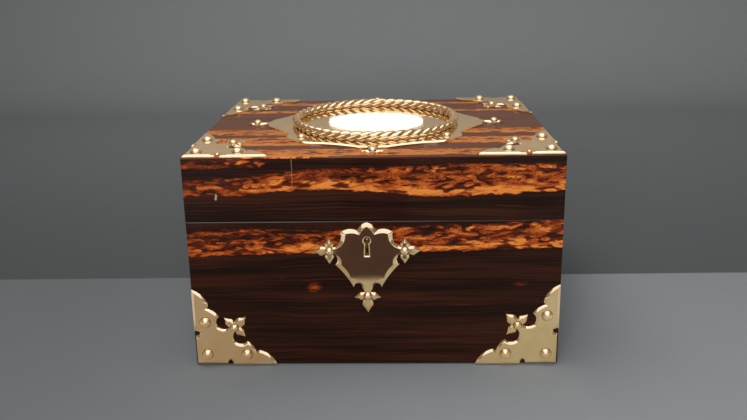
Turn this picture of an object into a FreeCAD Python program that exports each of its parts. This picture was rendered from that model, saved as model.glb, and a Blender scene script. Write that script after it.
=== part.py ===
import FreeCAD
import Part
import math
import os
from types import SimpleNamespace
from FreeCAD import Placement, Rotation, Vector

# Driving dimensions of the box, in millimetres; the stop angle is in degrees.
DIMENSIONS = {
    "case_width": 300.0,
    "case_depth": 228.0,
    "case_height": 180.0,
    "lid_height": 53.5,
    "lid_gap": 0.3,
    "board": 11.0,
    "bottom_board": 8.0,
    "top_board": 8.0,
    "veneer": 1.2,
    "baize": 0.8,
    "baize_inset": 1.5,
    "tail_root": 15.0,
    "tail_flare": 1.8,
    "tail_gap": 8.0,
    "dovetail_lap": 3.5,
    "lining": 2.0,
    "lining_drop": 4.0,
    "glue_line": 0.1,
    "lid_pad_inset": 3.0,
    "lid_pad_depth": 5.0,
    "plate": 2.2,
    "plate_bevel": 1.2,
    "plate_bevel_width": 2.0,
    "plate_inset": 0.3,
    "plate_leg": 67.5,
    "left_plate_rise": 68.0,
    "right_plate_rise": 71.0,
    "lid_plate_side_leg": 77.0,
    "plate_lobe_along": 53.5,
    "plate_lobe_out": 13.0,
    "plate_cusp_back": 2.9,
    "plate_cusp_in": 1.6,
    "plate_horn_back": 7.1,
    "plate_horn_rise": 9.9,
    "edge_notch_along": 28.5,
    "edge_notch_half": 2.2,
    "edge_notch_depth": 4.5,
    "edge_step": 1.0,
    "trefoil_at": 33.8,
    "trefoil_root": 4.2,
    "leaf_length": 12.0,
    "end_leaf_length": 13.5,
    "stud_near": 10.0,
    "stud_far": 43.0,
    "left_stud_rise": 39.0,
    "right_stud_rise": 44.0,
    "lid_stud_side": 49.0,
    "stud_radius": 4.5,
    "stud_dome": 3.7,
    "small_stud_radius": 3.5,
    "small_stud_dome": 2.9,
    "shank_radius": 1.3,
    "shank_length": 4.8,
    "shank_clearance": 0.05,
    "centre_trefoil_x": 108.5,
    "centre_trefoil_y": 102.5,
    "centre_root": 3.8,
    "centre_leaf": 9.0,
    "centre_bevel_width": 1.3,
    "centre_neck": 11.5,
    "centre_horn_half": 11.0,
    "centre_side_cusp_x": 75.0,
    "centre_side_cusp_y": 43.0,
    "centre_lobe_x": 68.0,
    "centre_lobe_y": 64.0,
    "centre_end_cusp_x": 46.0,
    "centre_end_cusp_y": 77.0,
    "centre_stud_x": 61.5,
    "centre_stud_y": 57.0,
    "rope_ring_radius": 72.0,
    "rope_radius": 3.8,
    "rope_core": 2.4,
    "rope_turns": 16.0,
    "rope_seat": 0.05,
    "escutcheon_offset": 5.5,
    "escutcheon_drop": 0.4,
    "escutcheon_bevel_width": 3.2,
    "escutcheon_crown_x": 7.2,
    "escutcheon_crown_down": 7.3,
    "escutcheon_brow_x": 20.8,
    "escutcheon_brow_down": 8.6,
    "escutcheon_trefoil_x": 30.2,
    "escutcheon_trefoil_down": 24.0,
    "escutcheon_shoulder_x": 25.6,
    "escutcheon_shoulder_down": 35.8,
    "escutcheon_horn_x": 11.2,
    "escutcheon_horn_down": 55.6,
    "escutcheon_neck_x": 4.2,
    "escutcheon_neck_drop": 7.4,
    "escutcheon_root": 3.8,
    "escutcheon_leaf": 11.2,
    "escutcheon_side_end_leaf": 13.4,
    "escutcheon_foot_leaf": 14.8,
    "key_drop": 15.5,
    "key_radius": 2.4,
    "key_slot_half": 0.9,
    "key_slot_foot_half": 1.3,
    "key_slot_length": 12.8,
    "hinge_inset": 60.0,
    "hinge_length": 45.0,
    "hinge_reach": 10.5,
    "hinge_leaf": 1.5,
    "knuckle_radius": 2.6,
    "knuckle_side_gap": 0.15,
    "knuckle_room": 0.3,
    "hinge_pin_radius": 1.1,
    "pin_clearance": 0.05,
    "hinge_lip": 5.0,
    "hinge_stop_angle": 97.0,
    "screw_head_radius": 2.2,
    "screw_head_depth": 1.2,
    "screw_radius": 1.0,
    "screw_length": 7.0,
    "screw_clearance": 0.05,
    "hinge_screw_pitch": 14.0,
    "hinge_screw_back": 4.2,
    "lock_width": 60.0,
    "lock_height": 34.0,
    "lock_depth": 9.0,
    "lock_wall": 1.5,
    "lock_cap": 1.2,
    "lock_room": 0.1,
    "selvedge": 1.6,
    "selvedge_ear": 7.0,
    "key_pin_radius": 1.3,
    "key_pin_sink": 0.5,
    "bolt_travel": 6.0,
    "bolt_thickness": 2.2,
    "bolt_clearance": 0.1,
    "bolt_bar_top": 9.4,
    "bolt_bar_height": 3.6,
    "bolt_riser": 5.0,
    "bolt_start_gap": 0.8,
    "bolt_end_gap": 0.5,
    "guide_length": 14.0,
    "guide_height": 2.0,
    "link_spacing": 28.0,
    "link_thickness": 2.0,
    "link_width": 5.0,
    "link_drop": 9.0,
    "link_rim": 1.0,
    "link_room": 0.7,
    "eye_centre": 5.4,
    "eye_height": 3.6,
    "finger_height": 2.6,
    "link_plate": 1.6,
    "link_plate_width": 50.0,
    "link_screw_inset": 5.0,
    "spring_width": 3.0,
    "spring_strip": 0.5,
    "spring_foot": 3.0,
    "spring_reach": 8.0,
}

doc = FreeCAD.newDocument("LockBox")
sheet = doc.addObject("Spreadsheet::Sheet", "Sizes")
for row, (alias, number) in enumerate(DIMENSIONS.items(), start=1):
    sheet.set("A%d" % row, alias.replace("_", " "))
    sheet.set("B%d" % row, str(number))
    sheet.setAlias("B%d" % row, alias)
doc.recompute()


class Size:
    """A length that keeps its number together with the formula that ties it to the sheet."""

    def __init__(self, number, formula):
        self.number = number
        self.formula = formula

    def __float__(self):
        return self.number

    def __add__(self, other):
        other = as_size(other)
        return Size(self.number + other.number, "(%s + %s)" % (self.formula, other.formula))

    def __sub__(self, other):
        other = as_size(other)
        return Size(self.number - other.number, "(%s - %s)" % (self.formula, other.formula))

    def __mul__(self, other):
        other = as_size(other)
        return Size(self.number * other.number, "(%s * %s)" % (self.formula, other.formula))

    def __truediv__(self, other):
        other = as_size(other)
        return Size(self.number / other.number, "(%s / %s)" % (self.formula, other.formula))

    def __radd__(self, other):
        return as_size(other) + self

    def __rsub__(self, other):
        return as_size(other) - self

    def __rmul__(self, other):
        return as_size(other) * self

    def __neg__(self):
        return as_size(0) - self


def as_size(value):
    """A plain number as a Size, and a Size as it is."""
    if isinstance(value, Size):
        return value
    return Size(float(value), repr(float(value)))


size = SimpleNamespace(**{alias: Size(float(sheet.get(alias)), "Sizes." + alias) for alias in DIMENSIONS})
nodes = {}


def tie(obj, **sizes):
    """Bind properties of an object to the sheet."""
    for name, value in sizes.items():
        obj.setExpression(name, as_size(value).formula)


def place(obj, x, y, z, rotation=None):
    """Turn an object, then bind its base point to the sheet."""
    obj.Placement = Placement(Vector(float(x), float(y), float(z)), rotation or Rotation())
    for axis, value in (("x", x), ("y", y), ("z", z)):
        obj.setExpression("Placement.Base." + axis, as_size(value).formula)


def keep(label, obj):
    """Register an object as a finished piece of the box."""
    obj.Label = label
    nodes[label] = obj
    return obj


def block(name, x, y, z):
    """A box between a low and a high value along each axis."""
    obj = doc.addObject("Part::Box", name)
    tie(obj, Length=x[1] - as_size(x[0]), Width=y[1] - as_size(y[0]), Height=z[1] - as_size(z[0]))
    place(obj, x[0], y[0], z[0])
    return obj


# The sharpest corners are set in no further than this cosine allows.
SHARPEST_MITRE = 0.4

# Turns that bring the Z axis onto each axis.
ALONG = {
    "x": Rotation(Vector(0, 1, 0), 90),
    "y": Rotation(Vector(1, 0, 0), -90),
    "z": Rotation(),
}


def rod(name, radius, length, start, axis):
    """A cylinder from its start point along an axis."""
    obj = doc.addObject("Part::Cylinder", name)
    tie(obj, Radius=radius, Height=length)
    place(obj, *start, ALONG[axis])
    return obj


def group(name, members):
    """Separate solids gathered in one object."""
    obj = doc.addObject("Part::Compound", name)
    obj.Links = members
    return obj


def carve(name, base, *tools):
    """Cut tools from a base one after the other."""
    for number, tool in enumerate(tools, start=1):
        cut = doc.addObject("Part::Cut", "%s_cut_%d" % (name, number))
        cut.Base = base
        cut.Tool = tool
        base = cut
    return base


def join(name, *members):
    """Fuse members to one solid."""
    obj = doc.addObject("Part::MultiFuse", name)
    obj.Shapes = list(members)
    obj.Refine = True
    return obj


def copies(name, pattern, placements):
    """Copies of a pattern shape at given placements, as separate solids."""
    doc.recompute()
    obj = doc.addObject("Part::Feature", name)
    shapes = []
    for placement in placements:
        shape = pattern.Shape.copy()
        shape.Placement = placement.multiply(shape.Placement)
        shapes.append(shape)
    obj.Shape = Part.Compound(shapes)
    return obj


def edge(start, end, bulge):
    """A straight edge, or an arc to the right of its way that rises by its bulge times half the chord."""
    p = Vector(float(start[0]), float(start[1]), 0)
    q = Vector(float(end[0]), float(end[1]), 0)
    if bulge == 0:
        return Part.LineSegment(p, q)
    way = q - p
    middle = (p + q) * 0.5 + Vector(way.y, -way.x, 0) * (0.5 * bulge)
    return Part.Arc(p, middle, q)


def draw(body, name, outline, plane="XY_Plane", rise=None):
    """A sketch of a closed outline of (across, up, bulge to the next point) on a plane of the body."""
    sketch = body.newObject("Sketcher::SketchObject", name)
    datum = next(item for item in body.Origin.OriginFeatures if item.Role == plane)
    sketch.AttachmentSupport = [(datum, "")]
    sketch.MapMode = "FlatFace"
    if rise is not None:
        sketch.setExpression("AttachmentOffset.Base.z", rise.formula)
    for point, following in zip(outline, outline[1:] + outline[:1]):
        sketch.addGeometry(edge(point, following, point[2]))
    return sketch


def sketched_body(name, outline, thickness, plane="XY_Plane"):
    """A body padded from an outline."""
    body = doc.addObject("PartDesign::Body", name)
    sketch = draw(body, name + "_outline", outline, plane)
    pad = body.newObject("PartDesign::Pad", name + "_pad")
    pad.Profile = sketch
    tie(pad, Length=thickness)
    return body


def inset(outline, widths):
    """An outline moved inwards by a width at each point: corners along mitres, arcs square to chords."""
    ways = []
    for (x, y, bulge), (far_x, far_y, _) in zip(outline, outline[1:] + outline[:1]):
        heading = math.atan2(far_y - y, far_x - x)
        ways.append((heading, 2 * math.atan(bulge), math.hypot(far_x - x, far_y - y)))
    corners = []
    for (x, y, _), width, arriving, leaving in zip(outline, widths, ways[-1:] + ways[:-1], ways):
        into = arriving[0] + arriving[1]
        out = leaving[0] - leaving[1]
        half_turn = (out - into + math.pi) % (2 * math.pi) / 2 - math.pi / 2
        reach = width / max(math.cos(half_turn), SHARPEST_MITRE) if half_turn > 0 else width
        corners.append((x - reach * math.sin(into + half_turn), y + reach * math.cos(into + half_turn)))
    moved = []
    means = [(here + there) / 2 for here, there in zip(widths, widths[1:] + widths[:1])]
    stretches = zip(outline, corners, corners[1:] + corners[:1], ways, means)
    for (x, y, bulge), corner, following, way, width in stretches:
        if bulge == 0:
            moved.append((*corner, 0))
            continue
        ahead = (math.cos(way[0]) * way[2] / 2, math.sin(way[0]) * way[2] / 2)
        height = bulge * way[2] / 2 - width
        middle = (x + ahead[0] + height * math.sin(way[0]), y + ahead[1] - height * math.cos(way[0]))
        chord = (following[0] - corner[0], following[1] - corner[1])
        length = math.hypot(*chord)
        off_x = middle[0] - (corner[0] + following[0]) / 2
        off_y = middle[1] - (corner[1] + following[1]) / 2
        moved.append((*corner, 2 * (off_x * chord[1] - off_y * chord[0]) / length ** 2))
    return moved


def bevelled_plate(name, outline, widths=None):
    """A plate padded from its outline, under a bevel lofted to the outline set in by the bevel's widths."""
    widths = widths or [float(size.plate_bevel_width)] * len(outline)
    body = sketched_body(name, outline, size.plate - size.plate_bevel)
    shoulder = draw(body, name + "_shoulder", outline, rise=size.plate - size.plate_bevel)
    face = draw(body, name + "_face", inset(outline, widths), rise=size.plate)
    bevel = body.newObject("PartDesign::AdditiveLoft", name + "_bevel")
    bevel.Profile = shoulder
    bevel.Sections = [face]
    bevel.Ruled = True
    return body


def backwards(path):
    """A stretch of outline run the other way, without its last point."""
    turned = path[::-1]
    return [(x, y, following[2]) for (x, y, _), following in zip(turned, turned[1:])]


def mirrored(outline, across, up):
    """A closed outline flipped across one or both axes, still running the same way round."""
    flipped = [(across * x, up * y, bulge) for x, y, bulge in outline]
    if across * up > 0:
        return flipped
    return backwards(flipped + flipped[:1])


# Levels and half widths that the pieces share.
half_width = size.case_width / 2
half_depth = size.case_depth / 2
carcass_x = half_width - size.veneer
carcass_y = half_depth - size.veneer
inner_x = carcass_x - size.board
inner_y = carcass_y - size.board
foot = size.baize
floor = size.baize + size.bottom_board
joint = size.case_height - size.lid_height
lid_foot = joint + size.lid_gap
lid_ceiling = size.case_height - size.veneer - size.top_board
lid_crown = size.case_height - size.veneer
FRONT = Rotation(Vector(1, 0, 0), 90)


# Studs and screws: one pattern of each, and the holes that they sit in.
def stud_pattern(name, radius, dome):
    """A domed head, cut from a ball, on a round shank that points down."""
    ball_radius = (radius * radius + dome * dome) / (2 * dome)
    ball = doc.addObject("Part::Sphere", name + "_dome")
    tie(ball, Radius=ball_radius)
    ball.setExpression("Angle1", "asin(%s)" % ((ball_radius - dome) / ball_radius).formula)
    place(ball, 0, 0, dome - ball_radius)
    shank = rod(name + "_shank", size.shank_radius, size.shank_length, (0, 0, -size.shank_length), "z")
    return join(name, ball, shank)


def screw_pattern(name, clearance):
    """A countersunk screw whose flat head is level with the origin and whose shank points down."""
    head = doc.addObject("Part::Cone", name + "_head")
    tie(head, Radius1=size.screw_radius + clearance, Radius2=size.screw_head_radius + clearance)
    tie(head, Height=size.screw_head_depth)
    place(head, 0, 0, -size.screw_head_depth)
    length = size.screw_length - size.screw_head_depth + clearance
    tip = (0, 0, -size.screw_length - clearance)
    shank = rod(name + "_shank", size.screw_radius + clearance, length, tip, "z")
    return join(name, head, shank)


large_stud = stud_pattern("large_stud", size.stud_radius, size.stud_dome)
small_stud = stud_pattern("small_stud", size.small_stud_radius, size.small_stud_dome)
hole_radius = size.shank_radius + size.shank_clearance
hole_length = size.shank_length + size.shank_clearance
stud_hole = rod("stud_hole", hole_radius, hole_length, (0, 0, -hole_length), "z")
screw = screw_pattern("screw", as_size(0))
screw_hole = screw_pattern("screw_hole", size.screw_clearance)


# Outline of a trefoil: three shouldered, pointed leaves round a stud, from one root to the other.
LEAF_SHOULDER = 0.58
LEAF_HALF_WIDTH = 0.28
LEAF_SWELL = 0.22
TIP_SWELL = -0.06
END_TIP = 6


def trefoil(centre, heading, root, side_leaf, end_leaf, spread=90):
    """Points from the right root round three leaves to the left root; angles are in degrees."""
    def polar(distance, angle, aside=0):
        turn = math.radians(angle)
        across = float(centre[0]) + float(distance) * math.cos(turn) - float(aside) * math.sin(turn)
        return across, float(centre[1]) + float(distance) * math.sin(turn) + float(aside) * math.cos(turn)

    points = []
    for quarter, turn, length in ((-1, -spread, side_leaf), (0, 0, end_leaf), (1, spread, side_leaf)):
        along = heading + turn
        shoulder = LEAF_SHOULDER * length
        half = LEAF_HALF_WIDTH * length
        points.append((*polar(root, heading + 90 * quarter - 45), LEAF_SWELL))
        points.append((*polar(shoulder, along, -half), TIP_SWELL))
        points.append((*polar(length, along), TIP_SWELL))
        points.append((*polar(shoulder, along, half), LEAF_SWELL))
    points.append((*polar(root, heading + 135), 0))
    return points


# Corner plate: scalloped towards the middle, with a trefoil on its diagonal.
LOBE_SWELL = 0.26
LOBE_END_SWELL = 0.15
HORN_SWELL = 0.2
BAY_SWELL = -1.08
NOTCH_SWELL = -0.3


def corner_outline(leg_up):
    """Outline of a plate with its square corner at the origin and one of its two legs stretched."""
    centre = (size.trefoil_at, size.trefoil_at)
    leaves = trefoil(centre, 45, size.trefoil_root, size.leaf_length, size.end_leaf_length)
    leaves[-1] = (*leaves[-1][:2], BAY_SWELL)
    notch = float(size.edge_notch_along)
    half = float(size.edge_notch_half)
    step = float(size.edge_step)
    depth = float(size.edge_notch_depth)
    lobe = (float(size.plate_lobe_along), float(size.plate_lobe_out))
    cusp = (lobe[0] - float(size.plate_cusp_back), lobe[1] - float(size.plate_cusp_in))
    horn = (cusp[0] - float(size.plate_horn_back), cusp[1] + float(size.plate_horn_rise))
    points = [
        (step, step, 0),
        (notch - half, step, NOTCH_SWELL),
        (notch, depth, NOTCH_SWELL),
        (notch + half, 0, 0),
        (float(size.plate_leg), 0, LOBE_SWELL),
        (*lobe, LOBE_END_SWELL),
        (*cusp, HORN_SWELL),
        (*horn, BAY_SWELL),
        *leaves,
        (horn[1], horn[0], HORN_SWELL),
        (cusp[1], cusp[0], LOBE_END_SWELL),
        (lobe[1], lobe[0], LOBE_SWELL),
        (0, float(size.plate_leg), 0),
        (0, notch + half, NOTCH_SWELL),
        (depth, notch, NOTCH_SWELL),
        (step, notch - half, 0),
    ]
    stretch = float(leg_up / size.plate_leg)
    return [(x, y * stretch, bulge) for x, y, bulge in points]


def corner_studs(leg_up, far_up, across, up):
    """Places of the three large studs and of the small one on a plate, in its own plane."""
    near = float(size.stud_near)
    far = float(size.stud_far)
    leaf = float(size.trefoil_at)
    large = [(across * near, up * near), (across * far, up * near), (across * near, up * float(far_up))]
    small = [(across * leaf, up * leaf * float(leg_up / size.plate_leg))]
    return large, small


front_large = []
front_small = []
lid_large = []
lid_small = []
plates = {}
front_face = float(-half_depth - size.plate)
lid_face = float(size.case_height + size.plate)
base_sides = (
    ("left", 1, size.left_plate_rise, size.left_stud_rise),
    ("right", -1, size.right_plate_rise, size.right_stud_rise),
)
for side, across, rise, stud_rise in base_sides:
    name = "base_corner_plate_" + side
    plates[name] = bevelled_plate(name, mirrored(corner_outline(rise), across, 1))
    corner_x = -across * (half_width - size.plate_inset)
    corner_z = foot + size.plate_inset
    place(plates[name], corner_x, -half_depth, corner_z, FRONT)
    for spots, places in zip((front_large, front_small), corner_studs(rise, stud_rise, across, 1)):
        for u, v in places:
            spot = Vector(float(corner_x) + u, front_face, float(corner_z) + v)
            spots.append(Placement(spot, FRONT))

for side, across in (("left", 1), ("right", -1)):
    for end, up in (("front", 1), ("back", -1)):
        name = "lid_corner_plate_%s_%s" % (end, side)
        outline = corner_outline(size.lid_plate_side_leg)
        plates[name] = bevelled_plate(name, mirrored(outline, across, up))
        corner_x = -across * (half_width - size.plate_inset)
        corner_y = -up * (half_depth - size.plate_inset)
        place(plates[name], corner_x, corner_y, size.case_height)
        pattern = corner_studs(size.lid_plate_side_leg, size.lid_stud_side, across, up)
        for spots, places in zip((lid_large, lid_small), pattern):
            for u, v in places:
                spot = Vector(float(corner_x) + u, float(corner_y) + v, lid_face)
                spots.append(Placement(spot, Rotation()))

# Centre plate of the lid: a trefoil at each of its four ends, and a pointed lobe in each quarter.
CENTRE_BAY_SWELL = -0.7
CENTRE_FLANK_SWELL = -0.08
CENTRE_LOBE_SWELL = 0.3


def centre_quarter():
    """Outline of one quarter, from the tip of one trefoil to the tip of the next."""
    leaf = (size.centre_root, size.centre_leaf, size.centre_leaf)
    side = trefoil((size.centre_trefoil_x, 0), 0, *leaf)[END_TIP:]
    end = trefoil((0, size.centre_trefoil_y), 90, *leaf)[:END_TIP + 1]
    side[-1] = (*side[-1][:2], CENTRE_BAY_SWELL)
    horn_x = float(size.centre_trefoil_x - size.centre_neck)
    horn_y = float(size.centre_trefoil_y - size.centre_neck)
    horn_half = float(size.centre_horn_half)
    return [
        *side,
        (horn_x, horn_half, CENTRE_FLANK_SWELL),
        (float(size.centre_side_cusp_x), float(size.centre_side_cusp_y), CENTRE_LOBE_SWELL),
        (float(size.centre_lobe_x), float(size.centre_lobe_y), CENTRE_LOBE_SWELL),
        (float(size.centre_end_cusp_x), float(size.centre_end_cusp_y), CENTRE_FLANK_SWELL),
        (horn_half, horn_y, CENTRE_BAY_SWELL),
        *end,
    ]


def centre_outline():
    """The quarter outline mirrored into each of the four quarters."""
    points = []
    for across, up in ((1, 1), (-1, 1), (-1, -1), (1, -1)):
        path = [(across * x, up * y, bulge) for x, y, bulge in centre_quarter()]
        points += path[:-1] if across * up > 0 else backwards(path)
    return points


centre_points = centre_outline()
centre_bevel = [float(size.centre_bevel_width)] * len(centre_points)
plates["lid_centre_plate"] = bevelled_plate("lid_centre_plate", centre_points, centre_bevel)
place(plates["lid_centre_plate"], 0, 0, size.case_height)
tip_x = float(size.centre_trefoil_x)
tip_y = float(size.centre_trefoil_y)
centre_spots = [(tip_x, 0), (-tip_x, 0), (0, tip_y), (0, -tip_y)]
for across in (-1, 1):
    for up in (-1, 1):
        centre_spots.append((across * float(size.centre_stud_x), up * float(size.centre_stud_y)))
centre_small = [Placement(Vector(x, y, lid_face), Rotation()) for x, y in centre_spots]

# Escutcheon: a pointed shield with a trefoil at each side and one at its foot.
CROWN_SWELL = 0.3
BROW_SWELL = 0.36
CHEEK_SWELL = -0.42
SHOULDER_SWELL = -0.58
FLANK_SWELL = -0.08
FOOT_BAY_SWELL = -1.05
FOOT_SPREAD = 82

foot_down = size.escutcheon_horn_down + size.escutcheon_neck_drop


def escutcheon_half():
    """Left half of the shield from apex to foot, measured down from the apex, and its bevel's widths."""
    side_centre = (-size.escutcheon_trefoil_x, -size.escutcheon_trefoil_down)
    side_leaves = (size.escutcheon_root, size.escutcheon_leaf, size.escutcheon_side_end_leaf)
    side = trefoil(side_centre, 180, *side_leaves)
    foot_centre = (0, -foot_down)
    foot_leaves = (size.escutcheon_root, size.escutcheon_leaf, size.escutcheon_foot_leaf)
    tail = trefoil(foot_centre, 270, *foot_leaves, FOOT_SPREAD)[:END_TIP + 1]
    side[-1] = (*side[-1][:2], SHOULDER_SWELL)
    horn_level = -float(size.escutcheon_horn_down)
    points = [
        (0, 0, CROWN_SWELL),
        (-float(size.escutcheon_crown_x), -float(size.escutcheon_crown_down), BROW_SWELL),
        (-float(size.escutcheon_brow_x), -float(size.escutcheon_brow_down), CHEEK_SWELL),
        *side,
        (-float(size.escutcheon_shoulder_x), -float(size.escutcheon_shoulder_down), FLANK_SWELL),
        (-float(size.escutcheon_horn_x), horn_level, FOOT_BAY_SWELL),
        (-float(size.escutcheon_neck_x), horn_level, 0),
        *tail,
    ]
    wide = float(size.escutcheon_bevel_width)
    narrow = float(size.plate_bevel_width)
    widths = [wide] * 3 + [narrow] * len(side) + [wide] * 2 + [narrow] * (1 + len(tail))
    return points, widths


def escutcheon_outline():
    """The left half of the shield and its mirror image, and the bevel's width at each point."""
    left, widths = escutcheon_half()
    right = backwards([(-x, y, bulge) for x, y, bulge in left])
    return left[:-1] + right, widths[:-1] + widths[:0:-1]


key_x = -size.escutcheon_offset
key_z = joint - size.key_drop
shield_top = joint - size.escutcheon_drop
plates["escutcheon"] = bevelled_plate("escutcheon", *escutcheon_outline())
place(plates["escutcheon"], key_x, -half_depth, shield_top, FRONT)
shield_spots = [
    (-size.escutcheon_trefoil_x, -size.escutcheon_trefoil_down),
    (size.escutcheon_trefoil_x, -size.escutcheon_trefoil_down),
    (as_size(0), -foot_down),
]
shield_small = []
for across, down in shield_spots:
    spot = Vector(float(key_x + across), front_face, float(shield_top + down))
    shield_small.append(Placement(spot, FRONT))

# Keyhole: a round eye over a slot that widens towards its foot, through shield, wall and lock cap.
eye_rise = -math.sqrt(float(size.key_radius) ** 2 - float(size.key_slot_half) ** 2)
eye_swell = (float(size.key_radius) - eye_rise) / float(size.key_slot_half)
keyhole_outline = [
    (-float(size.key_slot_foot_half), -float(size.key_slot_length), 0),
    (float(size.key_slot_foot_half), -float(size.key_slot_length), 0),
    (float(size.key_slot_half), eye_rise, eye_swell),
    (-float(size.key_slot_half), eye_rise, 0),
]
wall_to_lock = size.plate + size.veneer + size.board - size.lock_depth + size.lock_cap
keyhole = sketched_body("keyhole", keyhole_outline, wall_to_lock + size.plate)
place(keyhole, key_x, size.lock_cap - size.lock_depth - inner_y, key_z, FRONT)

# Studs in their places, and the holes for their shanks.
front_holes = copies("front_stud_holes", stud_hole, front_large + front_small + shield_small)
lid_holes = copies("lid_stud_holes", stud_hole, lid_large + lid_small + centre_small)
keep("base_corner_studs", copies("base_corner_studs", large_stud, front_large))
keep("base_cusp_studs", copies("base_cusp_studs", small_stud, front_small))
keep("lid_corner_studs", copies("lid_corner_studs", large_stud, lid_large))
keep("lid_cusp_studs", copies("lid_cusp_studs", small_stud, lid_small))
keep("centre_plate_studs", copies("centre_plate_studs", small_stud, centre_small))
keep("escutcheon_studs", copies("escutcheon_studs", small_stud, shield_small))
for name, body in plates.items():
    holes = lid_holes if name.startswith("lid") else front_holes
    tools = (holes, keyhole) if name == "escutcheon" else (holes,)
    keep(name, carve(name, body, *tools))

# Rope-twist ring: three strands laid round each other, carried round a circle as one twisted section.
STRANDS = 3
POINTS_PER_STRAND = 5
STEPS_PER_TURN = 9


def rope_section(turn):
    """The three-lobed section of the rope at one angle of the ring, turned by its lay."""
    lay = round(float(size.rope_turns)) * turn
    lobe_radius = float(size.rope_radius - size.rope_core) / 2
    middle = float(size.rope_core) + lobe_radius
    rise = float(size.case_height + size.plate + size.rope_seat + size.rope_radius)
    points = []
    for number in range(STRANDS * POINTS_PER_STRAND):
        angle = 2 * math.pi * number / (STRANDS * POINTS_PER_STRAND)
        reach = middle + lobe_radius * math.cos(STRANDS * angle)
        out = float(size.rope_ring_radius) + reach * math.cos(angle + lay)
        up = rise + reach * math.sin(angle + lay)
        points.append(Vector(out * math.cos(turn), out * math.sin(turn), up))
    return Part.makePolygon(points + points[:1])


steps = STEPS_PER_TURN * round(float(size.rope_turns))
sections = [rope_section(2 * math.pi * step / steps) for step in range(steps)]
rope = doc.addObject("Part::Feature", "rope_ring")
rope.Shape = Part.makeLoft(sections, True, True, True)
keep("rope_ring", rope)


# Carcass boards: the side boards carry lapped dovetails that end inside the front and back boards.
def tailed_side(name, low, high, base_x):
    """A side board between two levels, with as many tails at each end as its height takes."""
    height = float(high - low)
    root = float(size.tail_root) / 2
    tip = root + float(size.tail_flare)
    count = max(1, int(height // (2 * tip + float(size.tail_gap))))
    shoulder = float(inner_y)
    reach = float(carcass_y - size.dovetail_lap)
    rising = [(shoulder, 0, 0)]
    for number in range(count):
        centre = height * (2 * number + 1) / (2 * count)
        rising.append((shoulder, centre - root, 0))
        rising.append((reach, centre - tip, 0))
        rising.append((reach, centre + tip, 0))
        rising.append((shoulder, centre + root, 0))
    rising.append((shoulder, height, 0))
    falling = [(-y, z, 0) for y, z, _ in rising[::-1]]
    body = sketched_body(name, rising + falling, size.board, "YZ_Plane")
    place(body, base_x, 0, low)
    return body


def carcass(part, low, high):
    """The four boards of the base or of the lid before their fittings are let in."""
    left = tailed_side(part + "_left_board", low, high, -carcass_x)
    right = tailed_side(part + "_right_board", low, high, inner_x)
    full = (-carcass_x, carcass_x)
    front = block(part + "_front_blank", full, (-carcass_y, -inner_y), (low, high))
    back = block(part + "_back_blank", full, (inner_y, carcass_y), (low, high))
    keep(part + "_left_board", left)
    keep(part + "_right_board", right)
    front = carve(part + "_front_pins", front, left, right)
    back = carve(part + "_back_pins", back, left, right)
    return front, back


base_front, base_back = carcass("base", floor, joint)
lid_front, lid_back = carcass("lid", lid_foot, lid_ceiling)
footprint = ((-carcass_x, carcass_x), (-carcass_y, carcass_y))
keep("base_bottom_board", block("base_bottom_board", *footprint, (foot, floor)))
lid_top = block("lid_top_blank", *footprint, (lid_ceiling, lid_crown))
keep("lid_top_board", carve("lid_top_board", lid_top, lid_holes))

# Hinges: two stop hinges let into the back edges, with lips that meet when the lid is open.
axis_y = half_depth
axis_z = joint + size.lid_gap / 2
KNUCKLES = 5
SCREWS_PER_LEAF = 3
lip_swing = math.tan(math.radians(90 - float(size.hinge_stop_angle) / 2))
hinge_rooms = []
base_leaf_screws = []
lid_leaf_screws = []


def hinge_leaf(name, centre, upward, knuckle_numbers):
    """One leaf: flat plate, stop lip and knuckles, cleared round the other leaf's knuckles and the pin."""
    low = centre - size.hinge_length / 2
    span = (low, low + size.hinge_length)
    face = lid_foot if upward > 0 else joint
    depth = (face, face + size.hinge_leaf) if upward > 0 else (face - size.hinge_leaf, face)
    flat = block(name + "_flat", span, (axis_y - size.hinge_reach, axis_y), depth)
    lip = float(size.hinge_lip)
    lip_outline = [(0, 0, 0), (lip * lip_swing, upward * lip, 0), (0, upward * lip, 0)]
    if upward < 0:
        lip_outline = lip_outline[::-1]
    lip_body = sketched_body(name + "_lip", lip_outline, size.hinge_length, "YZ_Plane")
    place(lip_body, low, axis_y, axis_z)
    pitch = size.hinge_length / KNUCKLES
    own = []
    other = []
    for number in range(KNUCKLES):
        start = low + pitch * number
        if number in knuckle_numbers:
            own.append(rod(name + "_knuckle", size.knuckle_radius, pitch, (start, axis_y, axis_z), "x"))
        else:
            room = size.knuckle_radius + size.knuckle_room
            start = start - size.knuckle_side_gap
            length = pitch + 2 * size.knuckle_side_gap
            other.append(rod(name + "_clearance", room, length, (start, axis_y, axis_z), "x"))
    whole = join(name + "_whole", flat, lip_body, *own)
    bore_radius = size.hinge_pin_radius + size.pin_clearance
    bore = rod(name + "_bore", bore_radius, size.hinge_length, (low, axis_y, axis_z), "x")
    spots = []
    turn = Rotation(Vector(1, 0, 0), 180) if upward > 0 else Rotation()
    for number in range(SCREWS_PER_LEAF):
        across = centre + size.hinge_screw_pitch * (number - (SCREWS_PER_LEAF - 1) / 2)
        along = axis_y - size.hinge_reach + size.hinge_screw_back
        spots.append(Placement(Vector(float(across), float(along), float(face)), turn))
    holes = copies(name + "_screw_holes", screw_hole, spots)
    keep(name, carve(name, whole, group(name + "_clearances", other), bore, holes))
    return spots, holes


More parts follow.
